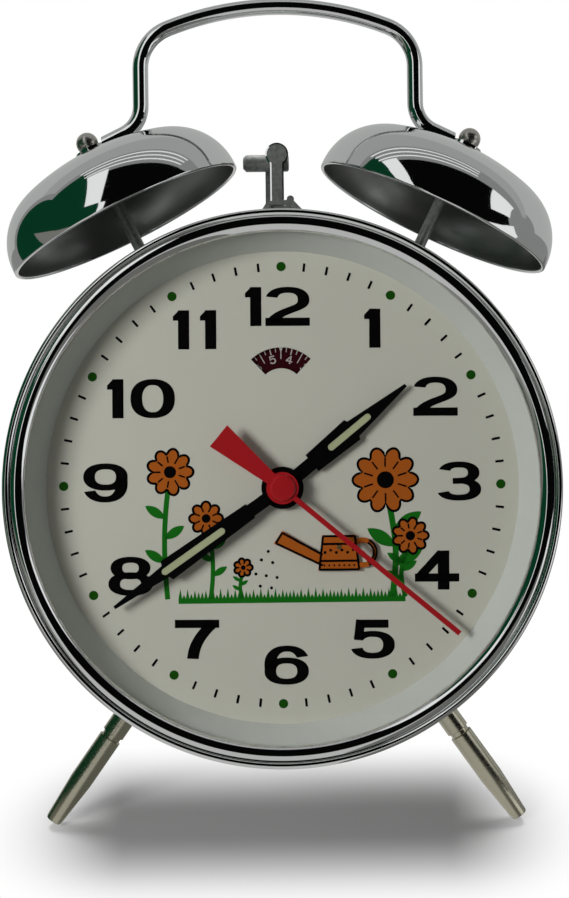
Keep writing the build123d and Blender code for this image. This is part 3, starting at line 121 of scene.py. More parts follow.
def lathe(name, profile, start, along, across, steps=160, sharp=35, finish=None):
    # a closed outline of (radius, height) carried round an axis: start + height x along + radius x (cos, sin)
    normal = np.cross(along, across)
    turn = np.linspace(0, 2 * np.pi, steps, endpoint=False)
    ring = np.cos(turn)[:, None] * across + np.sin(turn)[:, None] * normal
    radius, height = np.asarray(profile, float).T[:, None, :, None]
    points = start + mm * (height * along + radius * ring[:, None, :])
    faces = gridFaces(steps, len(profile), closeRows=True, closeColumns=True)
    bands = None if finish is None else np.tile(finish, steps)  # one finish for each stretch of the outline
    return outward(newPiece(name, points.reshape(-1, 3), faces, sharp=sharp, bands=bands))


class Socket:  # a shader socket that takes part in sums
    def __init__(self, tree, link):
        self.tree, self.link = tree, link

    def node(self, kind, settings=(), output=0, **inputs):
        made = self.tree.nodes.new(kind)
        for key, value in dict(settings).items():
            setattr(made, key, value)
        for key, value in inputs.items():
            numbered = key[0] == "i" and key[1:].isdigit()
            spot = made.inputs[int(key[1:]) if numbered else key.replace("_", " ")]
            if isinstance(value, Socket):
                self.tree.links.new(value.link, spot)
            else:
                spot.default_value = value
        return Socket(self.tree, made.outputs[output])

    def sum(self, operation, first, second):
        return self.node("ShaderNodeMath", {"operation": operation}, i0=first, i1=second)

    def __add__(self, other):
        return self.sum("ADD", self, other)

    def __radd__(self, other):
        return self.sum("ADD", other, self)

    def __sub__(self, other):
        return self.sum("SUBTRACT", self, other)

    def __rsub__(self, other):
        return self.sum("SUBTRACT", other, self)

    def __mul__(self, other):
        return self.sum("MULTIPLY", self, other)


def newMaterial(name, colour, metallic=0.0, roughness=0.5, **fixed):
    material = bpy.data.materials.new(name)
    material.use_nodes = True
    tree = material.node_tree
    shader = tree.nodes["Principled BSDF"]
    shader.inputs["Base Color"].default_value = (*colour, 1)
    shader.inputs["Metallic"].default_value = metallic
    shader.inputs["Roughness"].default_value = roughness
    for key, value in fixed.items():
        shader.inputs[key.replace("_", " ")].default_value = value
    coords = tree.nodes.new("ShaderNodeTexCoord")
    return material, shader, Socket(tree, coords.outputs["Object"])


def noise(place, scale, detail=3.0, stretch=None):
    if stretch:
        place = place.node("ShaderNodeMapping", Vector=place, Scale=stretch)
    return place.node("ShaderNodeTexNoise", Vector=place, Scale=scale, Detail=detail)


def blendColour(factor, low, high):
    return factor.node("ShaderNodeMix", {"data_type": "RGBA"}, 2, Factor=factor, i6=(*low, 1), i7=(*high, 1))


def feed(shader, socket, value):
    value.tree.links.new(value.link, shader.inputs[socket])


def bump(shader, height, strength, distance):
    feed(shader, "Normal", height.node("ShaderNodeBump", Height=height, Strength=strength, Distance=distance))


# how each kind of finish varies: noise as (scale, detail), relief as (strength, distance)
plating = dict(
    haze=(55.0, 4.0), fine=(900.0, 2.0), wave=(140.0, 2.0), relief=(0.012, 0.0004), smear=0.05, base=0.035
)
brushing = dict(lines=(6.0, 5.0), stretch=(40, 40, 900), detail=4.0, spread=0.1, relief=(0.06, 0.0002))
spraying = dict(cloud=(40.0, 4.0), detail=2.0, spread=0.06, distance=0.0002)


def polished(name, colour, darker):  # plated metal: faint smears and soft waviness
    s = plating
    material, shader, place = newMaterial(name, colour, 1.0, s["base"])
    haze = noise(place, *s["haze"])
    feed(shader, "Roughness", s["base"] + haze * s["smear"] * noise(place, *s["fine"]))
    feed(shader, "Base Color", blendColour(haze, darker, colour))
    bump(shader, noise(place, *s["wave"]), *s["relief"])
    return material


def satin(name, colour, darker, rough=0.3, metal=1.0, mottle=90.0):  # brushed or tumbled metal
    s = brushing
    material, shader, place = newMaterial(name, colour, metal, rough)
    lines = noise(place, *s["lines"], s["stretch"])
    feed(shader, "Roughness", rough - s["spread"] + lines * (2 * s["spread"]))
    feed(shader, "Base Color", blendColour(noise(place, mottle, s["detail"]), darker, colour))
    bump(shader, lines, *s["relief"])
    return material


def painted(name, colour, shade, rough=0.45, grain=1400.0, depth=0.05, sheen=0.05):  # paint with a fine tooth
    s = spraying
    material, shader, place = newMaterial(name, colour, 0.0, rough, Specular_IOR_Level=sheen)
    tooth = noise(place, grain, s["detail"])
    feed(shader, "Base Color", blendColour(noise(place, *s["cloud"]), shade, colour))
    feed(shader, "Roughness", rough - s["spread"] + tooth * (2 * s["spread"]))
    bump(shader, tooth, depth, s["distance"])
    return material


chromePlate = polished("chromePlate", (0.78, 0.79, 0.79), (0.70, 0.71, 0.71))
# the bell's inside: a rougher satin finish, and its darker colour is partly painted shade inside the hollow
bellInsideSatinShade = satin("bellInsideSatinShade", (0.40, 0.41, 0.40), (0.28, 0.29, 0.28), 0.34)
nickelPlate = satin("nickelPlate", (0.60, 0.575, 0.45), (0.48, 0.46, 0.36), 0.24)
zincSheet = satin("zincSheet", (0.56, 0.58, 0.56), (0.13, 0.14, 0.135), 0.4, 0.7, 1300.0)
capNickel = satin("capNickel", (0.60, 0.59, 0.54), (0.46, 0.45, 0.41), 0.3)
brightSteel = satin("brightSteel", (0.58, 0.59, 0.61), (0.45, 0.46, 0.48), 0.32)
bluedSpring = satin("bluedSpring", (0.33, 0.36, 0.44), (0.20, 0.22, 0.28), 0.3)
stampedBrass = satin("stampedBrass", (0.80, 0.62, 0.30), (0.66, 0.48, 0.20), 0.3)
dialPaint = painted("dialPaint", (0.63, 0.62, 0.535), (0.595, 0.585, 0.505), 0.55)
ringPaint = painted("ringPaint", (0.64, 0.665, 0.62), (0.60, 0.62, 0.58), 0.45)
blackPaint = painted("blackPaint", (0.0015, 0.0015, 0.0017), (0.0025, 0.0025, 0.0028), 0.4)
blackInk = painted("blackInk", (0.0012, 0.0012, 0.0012), (0.0024, 0.0023, 0.0022), 0.55)
dotInk = painted("dotInk", (0.011, 0.078, 0.004), (0.008, 0.064, 0.003), 0.55)
leafInk = painted("leafInk", (0.011, 0.17, 0.011), (0.008, 0.14, 0.008), 0.55)
orangeInk = painted("orangeInk", (0.46, 0.115, 0.014), (0.40, 0.095, 0.011), 0.55)
redPaint = painted("redPaint", (0.44, 0.008, 0.013), (0.38, 0.007, 0.011), 0.35, 1400.0, 0.05, 0.3)
alarmPaint = painted("alarmPaint", (0.036, 0.0035, 0.006), (0.028, 0.0025, 0.0045), 0.5)
whiteInk = painted("whiteInk", (0.52, 0.47, 0.45), (0.45, 0.41, 0.39), 0.5)
lumeFill = painted("lumeFill", (0.50, 0.53, 0.32), (0.40, 0.42, 0.25), 0.7, 2200.0, 0.2)
mouldedBlack = painted("mouldedBlack", (0.02, 0.02, 0.021), (0.03, 0.03, 0.03), 0.3, 900.0, 0.08, 0.5)
print("finishes made")


def mixSurface(tree, factor, first, second):  # the surface goes from first to second with the factor
    mix = tree.nodes.new("ShaderNodeMixShader")
    for link, spot in zip((factor, first, second), mix.inputs):
        tree.links.new(link, spot)
    end = next(n for n in tree.nodes if n.type.startswith("OUTPUT"))
    tree.links.new(mix.outputs[0], end.inputs["Surface"])


# flat glass: see-through with a weak mirror on its outer side
glassLook = dict(tint=(0.985, 0.99, 0.99), mirror=(0.97, 0.98, 0.98), index=1.35)


def clearGlass(s):
    material, shader, place = newMaterial("clearGlass", s["mirror"], 1.0, 0.0)
    tree = place.tree
    clear = tree.nodes.new("ShaderNodeBsdfTransparent")
    clear.inputs["Color"].default_value = (*s["tint"], 1)
    sheen = place.node("ShaderNodeFresnel", IOR=s["index"])
    facing = tree.nodes.new("ShaderNodeNewGeometry")
    mirror = sheen * (1.0 - Socket(tree, facing.outputs["Backfacing"]))  # none from inside
    mixSurface(tree, mirror.link, clear.outputs[0], shader.outputs[0])
    return material


finishes = {
    "chrome": chromePlate, "nickel": nickelPlate, "zinc": zincSheet, "glass": clearGlass(glassLook),
    "dial_white": dialPaint, "ring_grey": ringPaint, "black_paint": blackPaint, "lume": lumeFill,
    "red_paint": redPaint, "alarm_red": alarmPaint, "figure_paint": orangeInk, "brass": stampedBrass,
    "steel": brightSteel, "spring_steel": bluedSpring, "knob_black": mouldedBlack,
}
for entry in frame["record"]["subparts"]:  # every CAD piece gets its slot's finish
    mesh = nodes[entry["node"]].data
    mesh.materials.clear()
    mesh.materials.append(finishes[entry["material_slot"]])

# bells: straight rim, round shoulder and shallow crown, with a rounded lip
bellShape = dict(
    place=(33.9, 58.95), depth=27.0, tilt=26.0, radius=27.4, height=17.2, wall=0.9, crown=54.3, shoulder=13.5,
    hole=1.06,
)


def spindleAxes(place, heading, depth):  # start, along and across, for a heading clockwise from up
    turn = np.radians(heading)
    along = np.sin(turn) * toRight + np.cos(turn) * upDial
    across = np.cos(turn) * toRight - np.sin(turn) * upDial
    return onClock(place[0], place[1], depth), along, across


def bellAxes(hand):  # a bell's spindle: -1 for the left, 1 for the right
    u, v = bellShape["place"]
    return spindleAxes((hand * u, v), hand * bellShape["tilt"], bellShape["depth"])


def bellOutline(s):
    side = s["radius"] - s["shoulder"]
    middle = s["height"] - s["crown"]
    # the shoulder's circle touches the crown's from inside, so their centres are crown - shoulder apart
    level = middle + np.sqrt((s["crown"] - s["shoulder"]) ** 2 - side**2)
    lean = np.degrees(np.arctan2(level - middle, side))
    edge = np.degrees(np.arccos(s["hole"] / s["crown"]))
    crown, shoulder = (0, middle), (side, level)
    outer = np.vstack((arc(crown, s["crown"], edge, lean, 40), arc(shoulder, s["shoulder"], lean, 0, 30)[1:]))
    lip = arc((s["radius"] - s["wall"] / 2, s["wall"] / 2), s["wall"] / 2, 0, -180, 13)
    turned = arc(shoulder, s["shoulder"] - s["wall"], 0, lean, 30)
    inner = np.vstack((turned, arc(crown, s["crown"] - s["wall"], lean, edge, 40)[1:]))
    stretches = (len(outer) + len(lip) - 1, len(inner), 1)
    inside = np.repeat((0, 1, 0), stretches)  # the inside takes the satin finish, whose darker colour is partly painted shade in the hollow
    return np.vstack((outer, lip, inner)), inside


for name, hand in (("left", -1), ("right", 1)):
    outline, inside = bellOutline(bellShape)
    bell = lathe(f"{name}BellShell", outline, *bellAxes(hand), 220, finish=inside)
    dress(bell, "case", chromePlate)
    bell.data.materials.append(bellInsideSatinShade)
    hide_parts(f"{name}_bell")
print("bells turned")

# bezel: the two rolled beads and the skirt
bezelShape = dict(
    radius=58.0, opening=53.5, depth=7.0, lip=3.0, skirt=1.0, bead=0.75, edge=1.3, crest=(1.9, 0.34)
)


def throughThree(a, b, c, count):  # arc from a through b to c, its centre as far from each
    (ax, ay), (bx, by), (cx, cy) = a, b, c
    d = 2 * (ax * (by - cy) + bx * (cy - ay) + cx * (ay - by))
    ux = ((ax**2 + ay**2) * (by - cy) + (bx**2 + by**2) * (cy - ay) + (cx**2 + cy**2) * (ay - by)) / d
    uy = ((ax**2 + ay**2) * (cx - bx) + (bx**2 + by**2) * (ax - cx) + (cx**2 + cy**2) * (bx - ax)) / d
    angles = np.unwrap(np.arctan2((ay - uy, by - uy, cy - uy), (ax - ux, bx - ux, cx - ux)))
    return arc((ux, uy), np.hypot(ax - ux, ay - uy), np.degrees(angles[0]), np.degrees(angles[2]), count)


def bezelOutline(s):
    edge = (s["opening"], s["edge"])
    crest = (s["opening"] + s["crest"][0], s["crest"][1])
    valley = (s["radius"] - 2 * s["bead"], s["bead"])
    rolled = throughThree(edge, crest, valley, 28)
    outer = arc((s["radius"] - s["bead"], s["bead"]), s["bead"], 180, 360, 24)
    skirt = s["radius"] - s["skirt"]
    back = ((s["radius"], s["depth"]), (skirt, s["depth"]), (skirt, s["lip"]), (s["opening"], s["lip"]))
    return np.vstack((rolled, outer, back))


bezelRing = lathe("bezelRing", bezelOutline(bezelShape), bezelCentre, inward, toRight, 288)
dress(bezelRing, "case", chromePlate)
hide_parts("bezel")

# feet: groove, straight stretch and taper
footShape = dict(
    depth=15.2, splay=35.2, radius=2.45, tip=1.65, nose=(0.15, 0.35), root=56.98, groove=64.6, grooveEnd=65.4,
    grooveCut=0.4, flare=0.2, taper=76.7, reach=87.155, stud=1.4, studRoot=52.5,
)


def footOutline(s):
    full, inner, (wider, sooner) = s["radius"], s["radius"] - s["grooveCut"], s["nose"]
    return (
        (0, s["studRoot"]), (s["stud"], s["studRoot"]), (s["stud"], s["root"]), (full, s["root"]),
        (full, s["groove"] - s["flare"]), (inner, s["groove"]), (inner, s["grooveEnd"]),
        (full, s["grooveEnd"] + s["flare"]), (full, s["taper"]), (s["tip"] + wider, s["reach"] - sooner),
        (s["tip"], s["reach"]), (0, s["reach"]),
    )


for name, hand in (("left", -1), ("right", 1)):
    spindle = spindleAxes((0, 0), hand * (180 - footShape["splay"]), footShape["depth"])
    foot = lathe(f"{name}FootPeg", footOutline(footShape), *spindle, 64, 20)
    dress(foot, "case", nickelPlate)
    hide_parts(f"foot_{name}")

# cap nuts: a ball on a short seat
capShape = dict(radius=2.45, seat=0.8, base=18.44, bore=1.02, depth=2.4)


def capOutline(s):
    foot = s["radius"] * s["seat"]
    rise = np.sqrt(s["radius"] ** 2 - foot**2)
    start = np.degrees(np.arctan2(-rise, foot))
    ball = arc((0, s["base"] + rise), s["radius"], start, 90, 28)
    end = s["base"] + s["depth"]
    return np.vstack((ball, ((0, end), (s["bore"], end), (s["bore"], s["base"]))))


for name, hand in (("left", -1), ("right", 1)):
    cap = lathe(f"{name}CapNut", capOutline(capShape), *bellAxes(hand), 48)
    dress(cap, "case", capNickel)
    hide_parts(f"{name}_bell_nut")
print("case metal turned")


def prisms(name, blocks, body, material):  # closed blocks: each an outline of (u, v) between two depths
    verts, faces, count = [], [], 0
    for outline, front, back in blocks:
        outline = np.asarray(outline, float)
        near = np.arange(len(outline))
        far, after = near + len(outline), np.roll(near, -1)
        verts += [onClock(outline[:, 0], outline[:, 1], front), onClock(outline[:, 0], outline[:, 1], back)]
        sides = np.stack((near, after, after + len(outline), far), -1)
        faces += [(near + count).tolist(), (far[::-1] + count).tolist()] + (sides + count).tolist()
        count += 2 * len(outline)
    return dress(outward(newPiece(name, np.vstack(verts), faces)), body, material)


# second hand: an even blade, a wedge tail and a domed cap
secondShape = dict(
    depth=7.0, thick=0.5, heading=130.0, length=48.3, half=0.56, tail=17.4, tailHalf=(0.95, 2.9), hub=3.4,
    proud=0.02, cap=2.9, dome=0.7,
)


def secondHand(s):
    (near, wide), half, ahead, behind = s["tailHalf"], s["half"], s["length"], -s["tail"]
    blade = ((half, 0), (half, ahead), (-half, ahead), (-half, 0))
    edge = np.array(blade + ((-near, 0), (-wide, behind), (wide, behind), (near, 0)))
    turn = np.radians(s["heading"])
    edge = edge @ np.array(((np.cos(turn), -np.sin(turn)), (np.sin(turn), np.cos(turn))))
    back = s["depth"] + s["thick"]
    hub = (circle((0, 0), s["hub"], 64), s["depth"] - s["proud"], back + s["proud"])
    piece = prisms("secondBlade", ((edge, s["depth"], back), hub), "seconds", redPaint)
    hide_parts("second_hand")
    bulge = arc((s["cap"] - s["dome"], s["depth"]), s["dome"], 270, 360, 10)
    dome = np.vstack(((0, s["depth"] - s["dome"]), bulge, (0, s["depth"])))
    dress(lathe("secondCap", dome, bezelCentre, inward, toRight, 64), "seconds", redPaint)


secondHand(secondShape)

# saddle over the drum's slot: two cheeks on a curved base, the front one cut for the arm, with a curl on top
saddleShape = dict(
    foot=56.92, base=1.0, ends=(-6.4, 7.6), slot=(-4.0, 6.2), front=22.6, back=31.6, wall=0.8, sink=0.3,
    cheek=((-3.9, 60.9), (-2.6, 62.9), (3.0, 63.2), (5.2, 60.9)), cut=(-2.2, 1.3, 62.1), curl=(2.5, 63.3, 0.8),
    hair=(0.02, 0.03, 0.04),  # each block ends a hair inside the next, so that no two faces lie in one plane
)


def saddle(s):
    top = s["foot"] + s["base"]
    low, (left, right) = top - s["sink"], s["ends"]
    hump = ((left, low), *s["cheek"], (right, low))
    start, end, high = s["cut"]
    front, back, wall = s["front"], s["back"], s["wall"]
    ledge, roll, bed = s["hair"]
    blocks = [
        (hump + ((end, low), (end, high), (start, high), (start, low)), front, front + wall),
        (hump, back - wall, back),
        (circle(s["curl"][:2], s["curl"][2]), front + roll, front + wall - roll),
    ]
    reach = ((left, right, front + ledge, front + wall - ledge),)
    reach += ((left, right, back - wall + ledge, back - ledge),)
    reach += ((left, s["slot"][0], front + bed, back - bed), (s["slot"][1], right, front + bed, back - bed))
    for near, far, start, end in reach:  # the base follows the drum: root of (foot squared - u squared)
        u = np.linspace(near, far, 12)
        under = np.stack((u, np.sqrt(s["foot"] ** 2 - u**2)), -1)
        blocks.append((np.vstack((under, ((far, top), (near, top)))), start, end))
    piece = prisms("hammerSaddle", blocks, "case", zincSheet)
    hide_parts("hammer_guide")


saddle(saddleShape)

# hammer face: the stamped plate's rounded edge, as a thin bevelled pad on the arm
faceShape = dict(top=(-0.4, 73.5), radius=2.55, half=1.5, low=60.6, depth=24.19, bevel=(0.32, 0.09))


def inset(outline, by):  # moves a clockwise outline inwards, along the half line of each corner
    ahead = np.roll(outline, -1, 0) - outline
    ahead /= np.linalg.norm(ahead, axis=1)[:, None]
    right = np.stack((ahead[:, 1], -ahead[:, 0]), -1)
    both = right + np.roll(right, 1, 0)
    return outline + 2 * by * both / np.sum(both**2, 1)[:, None]


def hammerFace(s):
    lean = np.degrees(np.arcsin(s["half"] / s["radius"]))
    left, right = s["top"][0] - s["half"], s["top"][0] + s["half"]
    head = arc(s["top"], s["radius"], 270 - lean, lean - 90, 48)
    rim = np.vstack(((left, s["low"]), head, (right, s["low"])))
    inner = inset(rim, s["bevel"][0])
    near = np.arange(len(rim))
    after = np.roll(near, -1)
    slopes = np.stack((near, after, after + len(rim), near + len(rim)), -1)
    raised = onClock(inner[:, 0], inner[:, 1], s["depth"] - s["bevel"][1])
    verts = np.vstack((onClock(rim[:, 0], rim[:, 1], s["depth"]), raised))
    faces = [near.tolist(), (near[::-1] + len(rim)).tolist()] + slopes.tolist()
    bright = np.repeat((0, 1), (2, len(rim)))  # the sheared rim is bright
    face = outward(newPiece("hammerFace", verts, faces, sharp=10, bands=bright))
    dress(face, "hammer", zincSheet)
    face.data.materials.append(chromePlate)


hammerFace(faceShape)
print("second hand, saddle and hammer face made")

# dial print: dots on the hours, ticks between, broad upright numerals
printShape = dict(depth=11.97, middle=(-0.04, 0.53), turn=-0.37, ring=46.7, dot=1.0, tick=(0.53, 1.8))
numeralShape = dict(
    ring=38.2, height=8.35, width=9.5, thick=1.25, thin=0.88, fine=0.64, stem=1.2,
    gaps={10: 1.5, 11: 2.3, 12: 0.85},
    nudge=(  # the print's own unevenness, from one to twelve
        (0.32, 0.34), (-0.26, -0.29), (-0.37, 0.65), (-0.12, 0.76), (0.0, 0.06), (0.71, -0.27),
        (0.72, 0.24), (0.55, -0.2), (0.44, 0.68), (3.01, -0.48), (0.56, 0.21), (-0.82, -0.01),
    ),
)


def inkPiece(name, parts, depth, body, material):  # flat ink, as (points, faces), gathered into one piece
    verts, faces, count = [], [], 0
    for flat, rows in parts:
        verts.append(onClock(flat[:, 0], flat[:, 1], depth))
        faces += [[i + count for i in row] for row in rows]
        count += len(flat)
    return dress(newPiece(name, np.vstack(verts), faces, smooth=False), body, material)


def oneFace(outline):  # a single face inside an outline of (u, v), turned to face the front
    outline = np.asarray(outline, float)
    signed = np.sum(outline[:, 0] * np.roll(outline[:, 1], -1) - outline[:, 1] * np.roll(outline[:, 0], -1))
    return outline if signed > 0 else outline[::-1], [list(range(len(outline)))]


def ticks(places, ahead, width, length):  # oblongs: place + corner x (width across, length ahead)
    across = np.stack((-ahead[:, 1], ahead[:, 0]), -1)
    corner = np.array(((-1, -1), (1, -1), (1, 1), (-1, 1))) / 2
    sides = corner[None, :, :1] * width * across[:, None]
    ends = corner[None, :, 1:] * length * ahead[:, None]
    return [oneFace(outline) for outline in places[:, None] + sides + ends]


def stroke(path, across, up=None, closed=False):
    # a strip of ink: the path moved to each side by an oval nib,
    # normal x nib squared / length of (normal x nib)
    path = np.asarray(path, float)
    ahead = np.roll(path, -1, 0) - np.roll(path, 1, 0) if closed else np.gradient(path, axis=0)
    normal = np.stack((-ahead[:, 1], ahead[:, 0]), -1) / np.linalg.norm(ahead, axis=1)[:, None]
    nib = np.stack(np.broadcast_arrays(across, across if up is None else up, path[:, 0])[:2], -1) + leastNib
    side = normal * nib**2 / np.linalg.norm(normal * nib, axis=1)[:, None]
    quads = gridFaces(len(path), 2, closeRows=closed)
    return np.stack((path + side, path - side), 1).reshape(-1, 2), [quad[::-1] for quad in quads]


def bow(middle, reach, start, end, square=0.86, count=40):  # an oval arc with fuller corners, degrees
    angle = np.radians(np.linspace(start, end, count))
    turn = compass(angle)
    return np.asarray(middle, float) + np.asarray(reach, float) * np.sign(turn) * np.abs(turn) ** square


def sweep(a, b, c, d, count=24):  # a cubic curve by its four points
    t = np.linspace(0, 1, count)[:, None]
    a, b, c, d = (np.asarray(q, float) for q in (a, b, c, d))
    return a * (1 - t) ** 3 + 3 * b * t * (1 - t) ** 2 + 3 * c * t**2 * (1 - t) + d * t**3


def line(start, end):  # a straight path
    return np.linspace(np.array(start, float), np.array(end, float), 6)


def digitStrokes(digit, s):  # the pen's (path, across, up, closed) in a box from -1 to 1, then sized
    thick, thin, fine, around = s["thick"], s["thin"], s["fine"], 60
    slant, loop = thick * 0.8, (0, 360 - 360 / around)
    half = np.array((s["width"] / 2 - thick, s["height"] / 2 - fine))
    full = 1 + np.array((thick, fine)) / half
    bar = 1 - (thin - fine) / half[1]
    neck = sweep((0.97, 0.3), (0.95, -0.2), (-0.6, -0.2), (-0.94, -0.95))
    two = np.vstack((bow((0, 0.4), (0.98, 0.6), 168, -8), neck[1:]))
    six = [
        (bow((0, -0.36), (1, 0.64), *loop, count=around), thick, fine, True),
        (bow((0.03, 0), (1.03, 1), 192, 26), thick, fine, False),
    ]
    shapes = {
        0: [(bow((0, 0), (1, 1), *loop, count=around), thick, fine, True)],
        2: [
            (two, thick, fine, False),
            (line((-full[0], -bar), (full[0], -bar)), thick, thin, False),
        ],
        3: [
            (bow((-0.02, 0.51), (0.9, 0.49), 164, -90), thick, fine, False),
            (bow((-0.02, -0.49), (1, 0.51), 90, -164), thick, fine, False),
            (line((-0.4, 0.01), (0.05, 0.01)), thick, fine, False),
        ],
        4: [
            (line((0.4, -full[1]), (0.4, full[1])), thick, thin, False),
            (line((-full[0], -0.45), (full[0], -0.45)), thick, thin, False),
            (line((0.3, full[1] - 0.12), (-1.08, -0.42)), slant, thin, False),
        ],
        5: [
            (line((-0.84, bar), (0.98, bar)), thick, thin, False),
            (line((-0.72, full[1]), (-0.86, -0.06)), slant, thin, False),
            (bow((0, -0.34), (1, 0.66), 148, -165), thick, fine, False),
        ],
        6: six,
        7: [
            (line((-full[0], bar), (full[0], bar)), thick, thin, False),
            (sweep((0.96, bar), (0.3, 0.35), (-0.2, -0.3), (-0.26, -full[1])), thick, thin, False),
        ],
        8: [
            (bow((0, 0.5), (0.86, 0.5), *loop, count=around), thick, fine, True),
            (bow((0, -0.47), (1, 0.53), *loop, count=around), thick, fine, True),
        ],
        9: [(-path, across, up, closed) for path, across, up, closed in six],
    }
    return [stroke(path * half, across, up, closed) for path, across, up, closed in shapes[digit]]


oneShape = dict(stem=0.45, flag=(1.45, 0.4), rise=(0.47, 0.69), width=2.9)  # shares of stem and half height


def oneStrokes(s):  # a straight stem with a wedge of flag on its left
    top, stem = s["height"] / 2, s["stem"]
    middle, (far, near), (low, high) = stem * oneShape["stem"], oneShape["flag"], oneShape["rise"]
    upright = stroke(np.linspace((middle, -top), (middle, top), 6), stem, stem)
    far, near, low, high = -stem * far, -stem * near, top * low, top * high
    return [upright, (np.array(((far, high), (far, low), (near, low), (near, top))), [[0, 1, 2, 3]])]


def numberStrokes(number, s, place, turn=0.0):  # digits side by side, centred, turned and placed
    digits = [int(c) for c in str(number)]
    widths = np.array([s["stem"] * oneShape["width"] if d == 1 else s["width"] for d in digits])
    gap = s["gaps"].get(number, 0.0)
    starts = np.concatenate(((0,), np.cumsum(widths[:-1] + gap)))
    middles = starts + widths / 2 - (widths.sum() + gap * (len(digits) - 1)) / 2
    spin = np.radians(turn)
    rows = np.array(((np.cos(spin), np.sin(spin)), (-np.sin(spin), np.cos(spin))))
    out = []
    for digit, middle in zip(digits, middles):
        for flat, quads in oneStrokes(s) if digit == 1 else digitStrokes(digit, s):
            out.append(((flat + (middle, 0)) @ rows + place, quads))
    return out


minuteOut = compass(np.radians(90 + printShape["turn"] - 6 * np.arange(60)))
minutePlaces = printShape["middle"] + printShape["ring"] * minuteOut
hours = np.s_[::5]
dotParts = [oneFace(circle(place, printShape["dot"])) for place in minutePlaces[hours]]
inkPiece("hourDots", dotParts, printShape["depth"], "case", dotInk)
tickParts = ticks(np.delete(minutePlaces, hours, 0), np.delete(minuteOut, hours, 0), *printShape["tick"])
inkPiece("minuteTicks", tickParts, printShape["depth"], "case", blackInk)
numeralParts = []
for hour in range(1, 13):
    place = printShape["middle"] + numeralShape["ring"] * minuteOut[5 * hour % 60]
    place = place + numeralShape["nudge"][hour - 1]
    numeralParts += numberStrokes(hour, numeralShape, place, printShape["turn"])
inkPiece("hourNumerals", numeralParts, printShape["depth"], "case", blackInk)
print("dial printed")

# alarm disc: white numerals and ticks that show in the dial's window, and the dial's pointer above it
alarmPrint = dict(
    place=(0.0, 20.6), depth=12.93, ring=7.0, first=75.0, firstHour=4, tickEnd=9.35,
    ticks=((0.26, 1.3), (0.19, 0.9), (0.2, 2.4), (0.19, 0.9)),  # (width, length), hour and quarters
    pointer=((-0.5, 30.2), (0, 28.9), (0.5, 30.2)), pointerDepth=12.3,
)
alarmNumeral = dict(
    height=1.75, width=1.4, thick=0.15, thin=0.14, fine=0.13, stem=0.15, gaps={10: 0.4, 11: 0.4, 12: 0.4}
)
alarmMiddle = np.array(alarmPrint["place"])
alarmParts = []
for hour in range(1, 13):
    angle = alarmPrint["first"] + 30 * (hour - alarmPrint["firstHour"])
    place = alarmMiddle + alarmPrint["ring"] * compass(np.radians(angle))
    alarmParts += numberStrokes(hour, alarmNumeral, place, angle - 90)
inkPiece("alarmNumerals", alarmParts, alarmPrint["depth"], "alarm_setting", whiteInk)
alarmOut = compass(np.radians(alarmPrint["first"] + 7.5 * np.arange(48)))  # every quarter of an hour
alarmTick = np.tile(alarmPrint["ticks"], (12, 1))
alarmPlaces = alarmMiddle + (alarmPrint["tickEnd"] - alarmTick[:, 1:] / 2) * alarmOut
alarmParts = ticks(alarmPlaces, alarmOut, alarmTick[:, None, :1], alarmTick[:, None, 1:])
inkPiece("alarmTicks", alarmParts, alarmPrint["depth"], "alarm_setting", whiteInk)
pointer = [oneFace(alarmPrint["pointer"])]
inkPiece("alarmPointer", pointer, alarmPrint["pointerDepth"], "case", whiteInk)
print("alarm disc printed")

# garden print: daisies on leafy stems, a strip of grass and drops under the can
gardenPrint = dict(
    green=11.985, orange=11.975, black=11.965, soil=-24.6, line=0.26, root=1.0,
    daisies=(  # u, v, radius, petals and the stem's lean
        (22.0, 1.4, 7.0, 10, 3.0), (27.2, -10.6, 3.9, 9, -3.0), (-24.0, 3.6, 5.0, 9, -2.0),
        (-16.4, -6.4, 3.6, 8, 2.0), (-8.6, -17.0, 2.0, 7, -1.0),
    ),
    stem=(0.3, 0.05), bend=(0.4, 0.5, 1.6),  # half width and what the radius adds; shares of lean and radius
    leaves=((0.45, 1), (0.62, -1), (0.8, 1)), leaf=(0.85, 0.55, 0.2),  # share of the stem and side; shares of radius
    heart=0.26, ray=(0.4, 0.68, 0.7),  # shares of the radius, and of the line's width
    grass=(-22.5, 26.0, 62), turf=1.1, blade=(1.5, 0.7, 1.7),  # from, to and blades; height, unevenness and wave
    drop=0.34, drops=(
        (-3.2, -13.6), (-4.7, -15.4), (-2.3, -16.0), (-5.9, -18.4), (-3.7, -18.8), (-1.4, -19.2), (-5.0, -21.0),
        (-2.6, -21.4),
    ),
)


def petalEdge(x, y, radius, petals, count=96):  # radius x (0.70 + 0.30 |cos of half a petal's turn| to 0.7)
    angle = np.linspace(0, 2 * np.pi, count, endpoint=False)
    reach = radius * (0.70 + 0.30 * np.abs(np.cos(petals * angle / 2)) ** 0.7)
    return np.stack((x + reach * np.cos(angle), y + reach * np.sin(angle)), -1)


def filled(edge):  # a face from an outline's middle to its edge
    middle = np.broadcast_to(edge.mean(0), edge.shape)
    return np.stack((edge, middle), 1).reshape(-1, 2), gridFaces(len(edge), 2, closeRows=True)


def leaf(base, tip, width):  # a lens: half width is width x sine along the rib
    along = np.linspace(0, 1, 15)
    rib = np.asarray(base) + along[:, None] * (np.asarray(tip) - np.asarray(base))
    return stroke(rib, width * np.sin(np.pi * along) ** 0.8)


